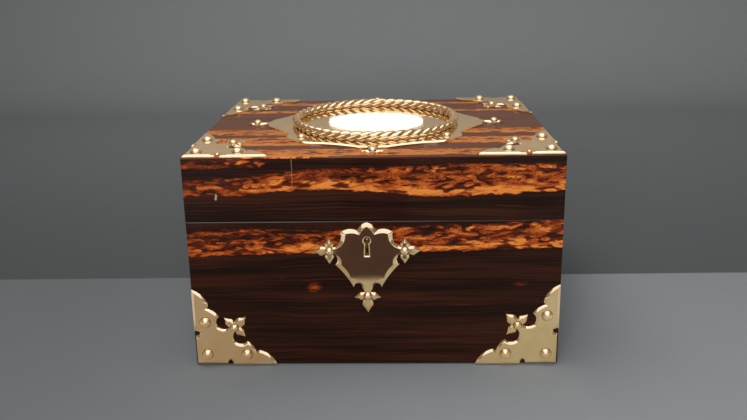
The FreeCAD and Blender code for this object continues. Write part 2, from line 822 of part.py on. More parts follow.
for side, sign in (("left", -1), ("right", 1)):
    centre = sign * (half_width - size.hinge_inset)
    low = centre - size.hinge_length / 2
    base_spots, base_screw_holes = hinge_leaf("hinge_base_leaf_" + side, centre, -1, (0, 2, 4))
    lid_spots, lid_screw_holes = hinge_leaf("hinge_lid_leaf_" + side, centre, 1, (1, 3))
    base_leaf_screws += base_spots
    lid_leaf_screws += lid_spots
    pin = rod("hinge_pin_" + side, size.hinge_pin_radius, size.hinge_length, (low, axis_y, axis_z), "x")
    keep("hinge_pin_" + side, pin)
    span = (low, low + size.hinge_length)
    leaf_room = block(
        "hinge_room_" + side,
        span,
        (axis_y - size.hinge_reach, axis_y + size.hinge_leaf),
        (joint - size.hinge_leaf, lid_foot + size.hinge_leaf),
    )
    barrel_radius = size.knuckle_radius + size.knuckle_room
    barrel = rod("barrel_room_" + side, barrel_radius, size.hinge_length, (low, axis_y, axis_z), "x")
    hinge_rooms.append(join("hinge_mortise_" + side, leaf_room, barrel))
    base_back = carve("base_back_" + side, base_back, hinge_rooms[-1], base_screw_holes)
    lid_back = carve("lid_back_" + side, lid_back, hinge_rooms[-1], lid_screw_holes)
keep("base_back_board", base_back)
keep("lid_back_board", lid_back)
keep("hinge_base_screws", copies("hinge_base_screws", screw, base_leaf_screws))
keep("hinge_lid_screws", copies("hinge_lid_screws", screw, lid_leaf_screws))

# Box lock: case with its selvedge, cap, key pin, sliding bolt and spring, and the link plate of the lid.
lock_inside = -inner_y
lock_outside = -inner_y - size.lock_depth
lock_half = size.lock_width / 2
lock_span = (key_x - lock_half, key_x + lock_half)
lock_foot = joint - size.lock_height
selvedge_under = joint - size.selvedge
chamber = (lock_outside + size.lock_cap, lock_inside - size.lock_wall)
middle_y = (chamber[0] + chamber[1]) / 2
ear_span = (lock_span[0] - size.selvedge_ear, lock_span[1] + size.selvedge_ear)
lock_shell = block("lock_shell", lock_span, (chamber[0], lock_inside), (lock_foot, joint))
selvedge = block("lock_selvedge", ear_span, (lock_outside, lock_inside), (selvedge_under, joint))
cavity = block(
    "lock_cavity",
    (lock_span[0] + size.lock_wall, lock_span[1] - size.lock_wall),
    (chamber[0], chamber[1]),
    (lock_foot + size.lock_wall, selvedge_under),
)
bar_top = joint - size.bolt_bar_top
bar_foot = bar_top - size.bolt_bar_height
guide_top = bar_foot - size.bolt_clearance
guide_levels = (guide_top - size.guide_height, guide_top)
guide_left = (lock_span[0], lock_span[0] + size.lock_wall + size.guide_length)
guide_right = (lock_span[1] - size.lock_wall - size.guide_length, lock_span[1])
guides = [
    block("bolt_guide_left", guide_left, (middle_y, lock_inside), guide_levels),
    block("bolt_guide_right", guide_right, (middle_y, lock_inside), guide_levels),
]
link_centres = [key_x + sign * size.link_spacing / 2 for sign in (-1, 1)]
slots = []
for centre in link_centres:
    room_x = size.link_thickness / 2 + size.link_room
    room_y = size.link_width / 2 + size.link_room
    slot_x = (centre - room_x, centre + room_x)
    slot_y = (middle_y - room_y, middle_y + room_y)
    slots.append(block("link_slot", slot_x, slot_y, (selvedge_under, joint)))
ear_middle = size.selvedge_ear / 2
lock_screw_spots = [
    Placement(Vector(float(x), float(middle_y), float(joint)), Rotation())
    for x in (ear_span[0] + ear_middle, ear_span[1] - ear_middle)
]
lock_screw_holes = copies("lock_screw_holes", screw_hole, lock_screw_spots)
lock_body = carve("lock_hollow", join("lock_solid", lock_shell, selvedge), cavity)
lock_body = join("lock_guided", lock_body, *guides)
keep("lock_case", carve("lock_case", lock_body, group("link_slots", slots), lock_screw_holes))
keep("lock_screws", copies("lock_screws", screw, lock_screw_spots))
cap_blank = block("lock_cap_blank", lock_span, (lock_outside, chamber[0]), (lock_foot, selvedge_under))
keep("lock_cap", carve("lock_cap", cap_blank, keyhole))
pin_tip = -half_depth + size.key_pin_sink
pin_length = chamber[1] - pin_tip
keep("key_pin", rod("key_pin", size.key_pin_radius, pin_length, (key_x, pin_tip, key_z), "y"))

# Bolt: a bar with a finger for each link; at rest it is drawn back and the lid is free.
finger_y = (middle_y - size.bolt_thickness / 2, middle_y + size.bolt_thickness / 2)
eye_level = joint - size.eye_centre
finger_levels = (eye_level - size.finger_height / 2, eye_level + size.finger_height / 2)
finger_tip = -(size.link_thickness / 2) - size.bolt_start_gap
finger_root = finger_tip - size.bolt_travel - size.bolt_end_gap
riser_back = finger_root - size.bolt_riser
bolt_pieces = []
for centre in link_centres:
    riser_x = (centre + riser_back, centre + finger_root)
    bolt_pieces.append(block("bolt_riser", riser_x, finger_y, (bar_foot, finger_levels[1])))
    finger_x = (centre + riser_back, centre + finger_tip)
    bolt_pieces.append(block("bolt_finger", finger_x, finger_y, finger_levels))
bar_span = (link_centres[0] + riser_back, link_centres[1] + finger_tip)
bolt_pieces.append(block("bolt_bar", bar_span, finger_y, (bar_foot, bar_top)))
keep("lock_bolt", join("lock_bolt", *bolt_pieces))

# Leaf spring: its foot lies under the selvedge and its bowed end comes down to the bolt's bar.
SPRING_BOW = 0.12
spring_left = link_centres[0] + finger_tip + size.bolt_travel + size.link_room
strip = float(size.spring_strip)
spring_foot = float(size.spring_foot)
spring_tip = (float(size.spring_reach), -float(selvedge_under - bar_top - size.bolt_clearance))
spring_outline = [
    (0, -strip, 0),
    (spring_foot, -strip, SPRING_BOW),
    (spring_tip[0] - strip, spring_tip[1], 0),
    (*spring_tip, -SPRING_BOW),
    (spring_foot + strip, 0, 0),
    (0, 0, 0),
]
spring = sketched_body("bolt_spring", spring_outline, size.spring_width)
place(spring, spring_left, middle_y + size.spring_width / 2, selvedge_under, FRONT)
keep("bolt_spring", spring)

# Link plate under the front edge of the lid, with two eyed links that drop into the lock.
plate_half = size.link_plate_width / 2
link_plate_span = (key_x - plate_half, key_x + plate_half)
link_plate_levels = (lid_foot, lid_foot + size.link_plate)
link_pieces = [block("link_plate_flat", link_plate_span, (lock_outside, lock_inside), link_plate_levels)]
eyes = []
for centre in link_centres:
    half = size.link_thickness / 2
    link_y = (middle_y - size.link_width / 2, middle_y + size.link_width / 2)
    eye_y = (link_y[0] + size.link_rim, link_y[1] - size.link_rim)
    eye_levels = (eye_level - size.eye_height / 2, eye_level + size.eye_height / 2)
    link_x = (centre - half, centre + half)
    link_pieces.append(block("link", link_x, link_y, (joint - size.link_drop, lid_foot)))
    eyes.append(block("link_eye", link_x, eye_y, eye_levels))
link_spots = [
    Placement(Vector(float(x), float(middle_y), float(lid_foot)), Rotation(Vector(1, 0, 0), 180))
    for x in (link_plate_span[0] + size.link_screw_inset, link_plate_span[1] - size.link_screw_inset)
]
link_holes = copies("link_screw_holes", screw_hole, link_spots)
link_blank = join("link_plate_blank", *link_pieces)
keep("link_plate", carve("link_plate", link_blank, group("link_eyes", eyes), link_holes))
keep("link_plate_screws", copies("link_plate_screws", screw, link_spots))

# Front boards, with the lock and the link plate let in.
room = size.lock_room
lock_mortise = block(
    "lock_mortise",
    (lock_span[0] - room, lock_span[1] + room),
    (lock_outside - room, lock_inside + room),
    (lock_foot - room, joint + room),
)
ear_mortise = block(
    "ear_mortise",
    (ear_span[0] - room, ear_span[1] + room),
    (lock_outside - room, lock_inside + room),
    (selvedge_under, joint + room),
)
front_tools = (front_holes, join("lock_recess", lock_mortise, ear_mortise), keyhole, lock_screw_holes)
keep("base_front_board", carve("base_front_board", base_front, *front_tools))
link_mortise = block(
    "link_mortise",
    (link_plate_span[0] - room, link_plate_span[1] + room),
    (lock_outside - room, lock_inside + room),
    (lid_foot - room, link_plate_levels[1]),
)
keep("lid_front_board", carve("lid_front_board", lid_front, link_mortise, link_holes))


# Veneers: front and back run full width, the sides fit between them, the top covers all edges.
def wall_veneers(part, levels):
    """Four veneers round the base or the lid, before holes are cut."""
    full = (-half_width, half_width)
    front = block("veneer_%s_front_sheet" % part, full, (-half_depth, -carcass_y), levels)
    back = block("veneer_%s_back_sheet" % part, full, (carcass_y, half_depth), levels)
    between = (-carcass_y, carcass_y)
    left = block("veneer_%s_left" % part, (-half_width, -carcass_x), between, levels)
    right = block("veneer_%s_right" % part, (carcass_x, half_width), between, levels)
    keep("veneer_%s_left" % part, left)
    keep("veneer_%s_right" % part, right)
    keep("veneer_%s_back" % part, carve("veneer_%s_back" % part, back, *hinge_rooms))
    return front


base_sheet = wall_veneers("base", (foot, joint))
keep("veneer_base_front", carve("veneer_base_front", base_sheet, front_holes, keyhole))
keep("veneer_lid_front", wall_veneers("lid", (lid_foot, lid_crown)))
top_sheet = block(
    "veneer_lid_top_sheet",
    (-half_width, half_width),
    (-half_depth, half_depth),
    (lid_crown, size.case_height),
)
keep("veneer_lid_top", carve("veneer_lid_top", top_sheet, lid_holes))

# Baize under the base, and the linings of the base and the lid.
glue = size.glue_line
baize_x = half_width - size.baize_inset
baize_y = half_depth - size.baize_inset
keep("base_baize", block("base_baize", (-baize_x, baize_x), (-baize_y, baize_y), (as_size(0), foot)))
lined_x = inner_x - glue
lined_y = inner_y - glue
pad_levels = (floor + glue, floor + glue + size.lining)
wall_levels = (pad_levels[1] + glue, joint - size.lining_drop)
side_y = lined_y - size.lining - glue
lined = (-lined_x, lined_x)
pad_x = inner_x - size.lid_pad_inset
pad_y = inner_y - size.lid_pad_inset
pad_top = lid_ceiling - glue
lid_pad_levels = (pad_top - size.lid_pad_depth, pad_top)
linings = {
    "lining_floor": (lined, (-lined_y, lined_y), pad_levels),
    "lining_front": (lined, (-lined_y, size.lining - lined_y), wall_levels),
    "lining_back": (lined, (lined_y - size.lining, lined_y), wall_levels),
    "lining_left": ((-lined_x, size.lining - lined_x), (-side_y, side_y), wall_levels),
    "lining_right": ((lined_x - size.lining, lined_x), (-side_y, side_y), wall_levels),
    "lining_lid": ((-pad_x, pad_x), (-pad_y, pad_y), lid_pad_levels),
}
for name, spans in linings.items():
    keep(name, block(name, *spans))


def check_document():
    """Stop unless every object was computed and every piece is sound."""
    doc.recompute()
    for obj in doc.Objects:
        if "Invalid" in obj.State or "Error" in obj.State:
            raise RuntimeError("not computed: %s" % obj.Name)
    for label, obj in nodes.items():
        if obj.Shape.isNull() or not obj.Shape.isValid() or not obj.Shape.Solids:
            raise RuntimeError("unsound piece: %s" % label)


check_document()
os.makedirs("parts", exist_ok=True)
for label, obj in nodes.items():
    obj.Shape.exportStep("parts/%s.step" % label)
    print("%-28s %2d solid(s) %12.1f mm3" % (label, len(obj.Shape.Solids), obj.Shape.Volume))
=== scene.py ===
import collections
import math

import bpy
import numpy as np
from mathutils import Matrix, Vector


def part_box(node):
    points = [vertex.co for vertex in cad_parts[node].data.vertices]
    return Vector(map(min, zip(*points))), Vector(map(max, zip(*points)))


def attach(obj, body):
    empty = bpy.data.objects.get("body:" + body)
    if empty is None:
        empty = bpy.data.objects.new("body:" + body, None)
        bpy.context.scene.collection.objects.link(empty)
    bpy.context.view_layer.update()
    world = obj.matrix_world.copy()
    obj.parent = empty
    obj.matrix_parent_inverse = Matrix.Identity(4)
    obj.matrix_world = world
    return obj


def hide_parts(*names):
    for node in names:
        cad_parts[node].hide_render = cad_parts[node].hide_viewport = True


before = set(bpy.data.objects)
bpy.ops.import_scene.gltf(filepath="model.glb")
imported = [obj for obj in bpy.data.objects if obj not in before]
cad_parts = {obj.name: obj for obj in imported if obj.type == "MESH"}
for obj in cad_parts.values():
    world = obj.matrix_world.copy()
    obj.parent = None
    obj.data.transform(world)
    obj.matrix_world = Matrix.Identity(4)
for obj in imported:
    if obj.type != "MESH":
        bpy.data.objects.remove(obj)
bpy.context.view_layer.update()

bl_info = {
    "name": "Brass-mounted lock box",
    "version": (1, 0, 0),
    "blender": (4, 5, 0),
    "location": "3D View > Sidebar > Lock box",
    "description": "Finishes the surfaces of a veneered lock box with brass mounts",
    "category": "Object",
}

# Lengths are in millimetres until a mesh is made.
MM = 0.001

# Numbers of the axes.
X, Y, Z = 0, 1, 2


def node_box(node):
    """Lowest and highest corner of a CAD node, in millimetres."""
    return [[float(part) / MM for part in corner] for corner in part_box(node)]


def node_size(node):
    """Width, depth and height of a CAD node, in millimetres."""
    return [end - start for start, end in zip(*node_box(node))]


# The case, from its veneers: front is -y, up is z.
(_, FRONT_Y, FOOT), (HALF_WIDTH, _, JOINT) = node_box("veneer_base_front")
LID_FOOT = node_box("veneer_lid_front")[0][Z]
LID_TOP = node_box("veneer_lid_top")[1][Z]

# Corner plates, with one corner at the origin of their own plane. PLATE is their thickness, and their sides
# stand upright as high as PLATE_SIDE, under the bevel.
LEG, PLATE, LEFT_RISE = node_size("base_corner_plate_left")
RIGHT_RISE = node_size("base_corner_plate_right")[Z]
LID_SIDE_LEG = node_size("lid_corner_plate_front_left")[Y]
PLATE_INSET = HALF_WIDTH - node_box("base_corner_plate_right")[1][X]
PLATE_SIDE = 1.0
TREFOIL_AT = 33.8
STUD_NEAR = 10.0
STUD_FAR = 43.0
LEFT_STUD = 39.0
RIGHT_STUD = 44.0
LID_STUD = 49.0

# Studs: radius and height of the domes.
LARGE_STUD = (4.5, 3.7)
SMALL_STUD = (3.5, 2.9)

# Centre plate of the lid: the middles of its end trefoils and the studs of its lobes.
CENTRE_X = 108.5
CENTRE_Y = 102.5
CENTRE_STUD = (61.5, 57.0)

# Rope ring: radius of its circle, half its height, reach of its strands from the circle, lift off the plate,
# number of turns and of strands, and radius of a strand.
ROPE_RADIUS = 72.0
ROPE_HALF = 3.8
ROPE_ROUND = 3.74
ROPE_SEAT = 0.05
ROPE_TURNS = 24
ROPE_STRANDS = 2
ROPE_STRAND = 2.45

# Keyhole shield, keyhole and the pin behind it.
(SHIELD_LEFT, _, _), (SHIELD_RIGHT, _, SHIELD_TOP) = node_box("escutcheon")
SHIELD_X = (SHIELD_LEFT + SHIELD_RIGHT) / 2
SHIELD_SIDE = (30.2, 24.0)
SHIELD_FOOT = 63.0
(_, PIN_FRONT, PIN_FOOT), (_, PIN_BACK, PIN_TOP) = node_box("key_pin")
KEY_Z = (PIN_FOOT + PIN_TOP) / 2
KEY_EYE = 2.4
KEY_SLOT = 0.9
KEY_SLOT_FOOT = 1.3
KEY_SLOT_LENGTH = 12.8
KEY_PIN = node_size("key_pin")[X] / 2

# Hinges, lock and link plate: where their screw heads are.
HINGE_X = 90.0
HINGE_SCREW_Y = 107.7
HINGE_SCREW_STEP = 14.0
SCREW_HEAD = 2.2
LOCK_SCREWS = (-39.0, 28.0)
LINK_SCREWS = (-25.5, 14.5)
LOCK_Y = -106.45

# Swells of the plates' arcs: height of the arc over half its chord.
LEAF = 0.22
LEAF_TIP = -0.06
LOBE = 0.26
LOBE_END = 0.15
HORN = 0.2
BAY = -1.08
NOTCH = -0.3
CENTRE_BAY = -0.7
CENTRE_FLANK = -0.08
CENTRE_LOBE = 0.3
CROWN = 0.3
BROW = 0.36
CHEEK = -0.42
SHOULDER = -0.58
FLANK = -0.08
FOOT_BAY = -1.05

# Least cosine of half a corner's turn, which limits how far a sharp corner moves when a line is set in.
SHARPEST_MITRE = 0.4

# A leaf's shoulder: its place along the leaf and its half width, as shares of the leaf's length.
LEAF_SHOULDER = 0.58
LEAF_HALF = 0.28

# Trefoils: distance of their roots from the middle, length of the side leaves and of the end leaf. The end
# leaf's tip is the sixth corner after a trefoil's first.
END_TIP = 6
CORNER_LEAVES = (4.2, 12.0, 13.5)
CENTRE_LEAVES = (3.8, 9.0, 9.0)
SHIELD_SIDE_LEAVES = (3.8, 11.2, 13.4)
SHIELD_FOOT_LEAVES = (3.8, 11.2, 14.8)
SHIELD_FOOT_SPREAD = 82

# Flat strips that part a rounded edge from the face inside it, on the veneers and round the keyhole.
VENEER_STRIP = 0.4
KEYHOLE_STRIP = 0.25

# Mesh steps: on an arc of a plate or a screw head, on a side of a veneer or of the baize, round a stud and
# up it, in a turn of the rope and round a strand, round the key pin and over its end.
ARC_STEPS = 8
SCREW_STEPS = 12
VENEER_STEPS = 6
BAIZE_STEPS = 30
STUD_SIDES = 28
STUD_STEPS = 14
TURN_STEPS = 22
STRAND_SIDES = 14
PIN_SIDES = 20
PIN_STEPS = 7

# Linings: the grid's spacing, the face's height at the rim as a share of the thickness, and the cloth
# simulation's air pressure and last frame.
PAD_GRID = 6.0
PAD_RIM = 0.35
PAD_PRESSURE = 4.0
PAD_FRAMES = 20

# The photograph's frame in pixels: its width, the lens's focal length and the rise of the middle of sight.
PHOTO_WIDTH = 747.0
PHOTO_FOCUS = 749.7
PHOTO_RISE = 60.0

# Camera: its place in metres and its turns about x, y and z in degrees.
EYE_PLACE = (0.0173, -0.6729, 0.3319)
EYE_TURNS = (75.268, 0.977, 1.403)

# Stage: half its width, the table's front, the line where the table's tone ends, and the wall behind it.
STAGE_HALF = 3000.0
TABLE_FRONT = -2600.0
TABLE_END = 63.0
WALL_FOOT = 900.0
WALL_COVE = 350.0
WALL_TOP = 2600.0

# Parts of the veneers' figure. A line of a band is a level, and pairs of a share of the box's width and the
# rise over that level; left and right are the amber's strength at both ends, and broken is how far the band
# falls into patches.
Band = collections.namedtuple("Band", "floor roof left right broken")
Fleck = collections.namedtuple("Fleck", "along across half_length half_height strength")
Mark = collections.namedtuple("Mark", "along low high width colour")
Rim = collections.namedtuple("Rim", "across width colour")

BASE_BAND = Band(
    floor=(
        60.0,
        (0.0, 37.0), (0.15, 38.5), (0.34, 39.5), (0.5, 41.0), (0.7, 40.5), (0.85, 42.0), (1.0, 43.5),
    ),
    roof=(
        70.0,
        (0.0, 47.5), (0.15, 51.0), (0.34, 50.0), (0.5, 52.0), (0.7, 53.0), (0.85, 55.0), (1.0, 57.0),
    ),
    left=0.82, right=1.25, broken=0.35,
)
LID_BAND = Band(
    floor=(
        130.0,
        (0.0, 18.0), (0.13, 18.5), (0.25, 22.0), (0.5, 21.5), (0.63, 17.0), (0.78, 17.5), (1.0, 21.0),
    ),
    roof=(
        140.0,
        (0.0, 22.0), (0.13, 23.0), (0.25, 27.5), (0.5, 31.5), (0.63, 32.0), (0.8, 33.5), (1.0, 31.5),
    ),
    left=0.82, right=1.25, broken=0.1,
)
LID_UPPER_BAND = Band(
    floor=(140.0, (0.0, 31.0), (0.1, 31.0), (0.2, 32.0), (0.27, 45.0), (0.5, 55.0), (1.0, 55.0)),
    roof=(140.0, (0.0, 36.0), (0.1, 38.5), (0.2, 38.0), (0.27, 34.0), (0.5, 30.0), (1.0, 30.0)),
    left=0.7, right=0.7, broken=0.4,
)
BASE_FLECKS = (
    Fleck(-49.0, 70.0, 9.0, 5.0, 0.56),
    Fleck(-75.0, 79.0, 7.0, 3.0, 0.16),
    Fleck(118.0, 73.0, 9.0, 3.6, 0.32),
)
LID_MARKS = (
    Mark(-63.0, 152.0, LID_TOP, 0.30, (0.30, 0.19, 0.13)),
    Mark(-124.0, 144.5, 150.0, 1.3, (0.42, 0.30, 0.22)),
)
# A painted highlight along the top edge of the base's front, fading towards the right.
JOINT_HIGHLIGHT_RIM = Rim(JOINT, 0.5, (0.15, 0.12, 0.11))
# Painted shade along the foot of the lid's front, where the gap between lid and base lies.
JOINT_SHADE_RIM = Rim(LID_FOOT + 0.3, 1.3, (0.004, 0.002, 0.0015))

# Stripes of the lid's top: where each starts, its width and the amber's strength.
TOP_STRIPES = (
    (-116.0, 22.0, 2.10),
    (-80.0, 26.0, 2.20),
    (-44.0, 20.0, 2.10),
    (48.0, 12.0, 1.50),
    (86.0, 12.0, 1.50),
)


class LockBoxSizes(bpy.types.PropertyGroup):
    """Sizes of the finish that a maker may change."""

    edge: bpy.props.FloatProperty(
        name="Veneer edge",
        description="Radius of the veneer's polished edges",
        default=0.0008, min=0.0002, max=0.0011, subtype="DISTANCE", unit="LENGTH",
    )
    bevel: bpy.props.FloatProperty(
        name="Plate bevel",
        description="Width of the bevel of the corner plates and of the trefoils",
        default=0.0020, min=0.0008, max=0.0022, subtype="DISTANCE", unit="LENGTH",
    )
    shield_bevel: bpy.props.FloatProperty(
        name="Shield bevel",
        description="Width of the bevel of the keyhole shield between its trefoils",
        default=0.0032, min=0.0010, max=0.0034, subtype="DISTANCE", unit="LENGTH",
    )
    centre_bevel: bpy.props.FloatProperty(
        name="Centre plate bevel",
        description="Width of the bevel of the lid's centre plate",
        default=0.0013, min=0.0006, max=0.0015, subtype="DISTANCE", unit="LENGTH",
    )
    keyhole_bevel: bpy.props.FloatProperty(
        name="Keyhole edge",
        description="Width of the bright edge round the keyhole",
        default=0.0014, min=0.0002, max=0.0016, subtype="DISTANCE", unit="LENGTH",
    )
    lid_pad_rise: bpy.props.FloatProperty(
        name="Lid pad rise",
        description="How far the lid's velvet pad swells",
        default=0.004, min=0.001, max=0.008, subtype="DISTANCE", unit="LENGTH",
    )
    floor_pad_rise: bpy.props.FloatProperty(
        name="Floor pad rise",
        description="How far the floor's velvet pad swells",
        default=0.002, min=0.0005, max=0.004, subtype="DISTANCE", unit="LENGTH",
    )


class LockBoxColours(bpy.types.PropertyGroup):
    """Colours of the finish that a maker may change."""

    dark: bpy.props.FloatVectorProperty(
        name="Dark wood",
        description="Darkest streaks of the veneer",
        default=(0.0060, 0.0020, 0.0014), min=0.0, max=1.0, subtype="COLOR",
    )
    brown: bpy.props.FloatVectorProperty(
        name="Brown wood",
        description="Lighter streaks of the veneer",
        default=(0.036, 0.0100, 0.0050), min=0.0, max=1.0, subtype="COLOR",
    )
    amber: bpy.props.FloatVectorProperty(
        name="Amber figure",
        description="Brightest figure of the veneer",
        default=(0.64, 0.205, 0.036), min=0.0, max=1.0, subtype="COLOR",
    )
    brass: bpy.props.FloatVectorProperty(
        name="Brass",
        description="Polished brass of the mounts",
        default=(0.90, 0.73, 0.52), min=0.0, max=1.0, subtype="COLOR",
    )
    velvet: bpy.props.FloatVectorProperty(
        name="Velvet",
        description="Pile of the linings",
        default=(0.20, 0.02, 0.04), min=0.0, max=1.0, subtype="COLOR",
    )
    baize: bpy.props.FloatVectorProperty(
        name="Baize",
        description="Felted cloth under the base",
        default=(0.05, 0.16, 0.08), min=0.0, max=1.0, subtype="COLOR",
    )
    table: bpy.props.FloatVectorProperty(
        name="Table",
        description="Pale sheet that the box stands on",
        default=(0.230, 0.243, 0.249), min=0.0, max=1.0, subtype="COLOR",
    )
    backdrop: bpy.props.FloatVectorProperty(
        name="Backdrop",
        description="Grey sheet behind the box",
        default=(0.178, 0.184, 0.186), min=0.0, max=1.0, subtype="COLOR",
    )


class Wire:
    """An output of a material's node that takes part in sums like a number."""

    def __init__(self, graph, socket):
        self.graph = graph
        self.socket = socket

    def wide(self):
        """True for a colour or a vector."""
        return self.socket.type in {"RGBA", "VECTOR"}

    def sum(self, operation, *terms):
        """A Math node for numbers, or a Vector Math node where any term is a colour or a vector."""
        if any(isinstance(term, Wire) and term.wide() for term in terms):
            terms = [term if isinstance(term, Wire) else np.broadcast_to(term, 3).tolist() for term in terms]
            return self.graph.node("ShaderNodeVectorMath", {"operation": operation}, dict(enumerate(terms)))
        return self.graph.node("ShaderNodeMath", {"operation": operation}, dict(enumerate(terms)))

    def __add__(self, other):
        return self.sum("ADD", self, other)

    def __radd__(self, other):
        return self.sum("ADD", other, self)

    def __sub__(self, other):
        return self.sum("SUBTRACT", self, other)

    def __rsub__(self, other):
        return self.sum("SUBTRACT", other, self)

    def __mul__(self, other):
        return self.sum("MULTIPLY", self, other)

    def __rmul__(self, other):
        return self.sum("MULTIPLY", other, self)

    def __truediv__(self, other):
        return self.sum("DIVIDE", self, other)

    def __rtruediv__(self, other):
        return self.sum("DIVIDE", other, self)

    def __pow__(self, other):
        return self.sum("POWER", self, other)

    def __rpow__(self, other):
        return self.sum("POWER", other, self)

    def __neg__(self):
        return self.sum("MULTIPLY", self, -1.0)

    def __abs__(self):
        return self.sum("ABSOLUTE", self)

    def fraction(self):
        """What is left above the whole number."""
        return self.sum("FRACT", self)

    def larger(self, other):
        """The larger of two numbers."""
        return self.sum("MAXIMUM", self, other)

    def axes(self):
        """The three parts of a vector."""
        split = self.graph.node("ShaderNodeSeparateXYZ", {}, {0: self}).socket.node
        return [Wire(self.graph, socket) for socket in split.outputs]

    def step(self, low, high):
        """Rises softly from 0 at low to 1 at high."""
        ends = {"Value": self, "From Min": low, "From Max": high}
        return self.graph.node("ShaderNodeMapRange", {"interpolation_type": "SMOOTHSTEP"}, ends)

    def mix(self, first, second):
        """From the first colour at 0 to the second at 1."""
        return self.graph.node("ShaderNodeMix", {"data_type": "RGBA"}, {0: self, 6: first, 7: second}, 2)


class Graph:
    """The nodes of one new material, or of the world."""

    def __init__(self, owner):
        self.owner = owner
        owner.use_nodes = True
        self.tree = owner.node_tree
        self.tree.nodes.clear()

    def node(self, kind, settings, inputs, output=0):
        """Adds a node, sets it up, fills or links its inputs, and gives one of its outputs."""
        made = self.tree.nodes.new(kind)
        for key, value in settings.items():
            setattr(made, key, value)
        for key, value in inputs.items():
            socket = made.inputs[key]
            if isinstance(value, Wire):
                self.tree.links.new(value.socket, socket)
            elif socket.type == "RGBA" and len(value) == 3:
                socket.default_value = (*value, 1.0)
            else:
                socket.default_value = value
        return Wire(self, made.outputs[output] if made.outputs else None)

    def place(self):
        """Where a point of the surface is, in millimetres."""
        return self.node("ShaderNodeTexCoord", {}, {}, "Object") * (1 / MM)

    def vector(self, x, y, z):
        """A vector of three numbers or wires."""
        return self.node("ShaderNodeCombineXYZ", {}, {0: x, 1: y, 2: z})

    def noise(self, where, detail=2.0, roughness=0.5, distortion=0.0):
        """Soft noise from 0 to 1 whose grain is about one unit of where."""
        inputs = {"Vector": where, "Scale": 1.0, "Detail": detail, "Roughness": roughness}
        return self.node("ShaderNodeTexNoise", {}, {**inputs, "Distortion": distortion})

    def curve(self, value, points):
        """A smooth line through points, both axes from 0 to 1."""
        line = self.node("ShaderNodeFloatCurve", {}, {"Factor": 1.0, "Value": value})
        mapping = line.socket.node.mapping
        drawn = mapping.curves[0].points
        drawn[0].location = points[0]
        drawn[-1].location = points[-1]
        for spot in points[1:-1]:
            drawn.new(*spot)
        mapping.update()
        return line

    def bump(self, height, depth, strength=1.0):
        """The normal of a surface whose height is given from 0 to 1 over a depth in millimetres."""
        inputs = {"Strength": strength, "Distance": depth * MM, "Height": height}
        return self.node("ShaderNodeBump", {}, inputs)

    def surface(self, **inputs):
        """Ends the material with one shader; an underscore stands for a space in a socket's name."""
        named = {key.replace("_", " "): value for key, value in inputs.items()}
        shader = self.node("ShaderNodeBsdfPrincipled", {}, named)
        self.node("ShaderNodeOutputMaterial", {}, {"Surface": shader})
        return self.owner


def shaded(colour, shade):
    """A colour made darker or paler, by one share or by one for each of its parts."""
    return np.multiply(colour, shade).tolist()


def new_material(name):
    """The nodes of a new, empty material."""
    return Graph(bpy.data.materials.new(name))


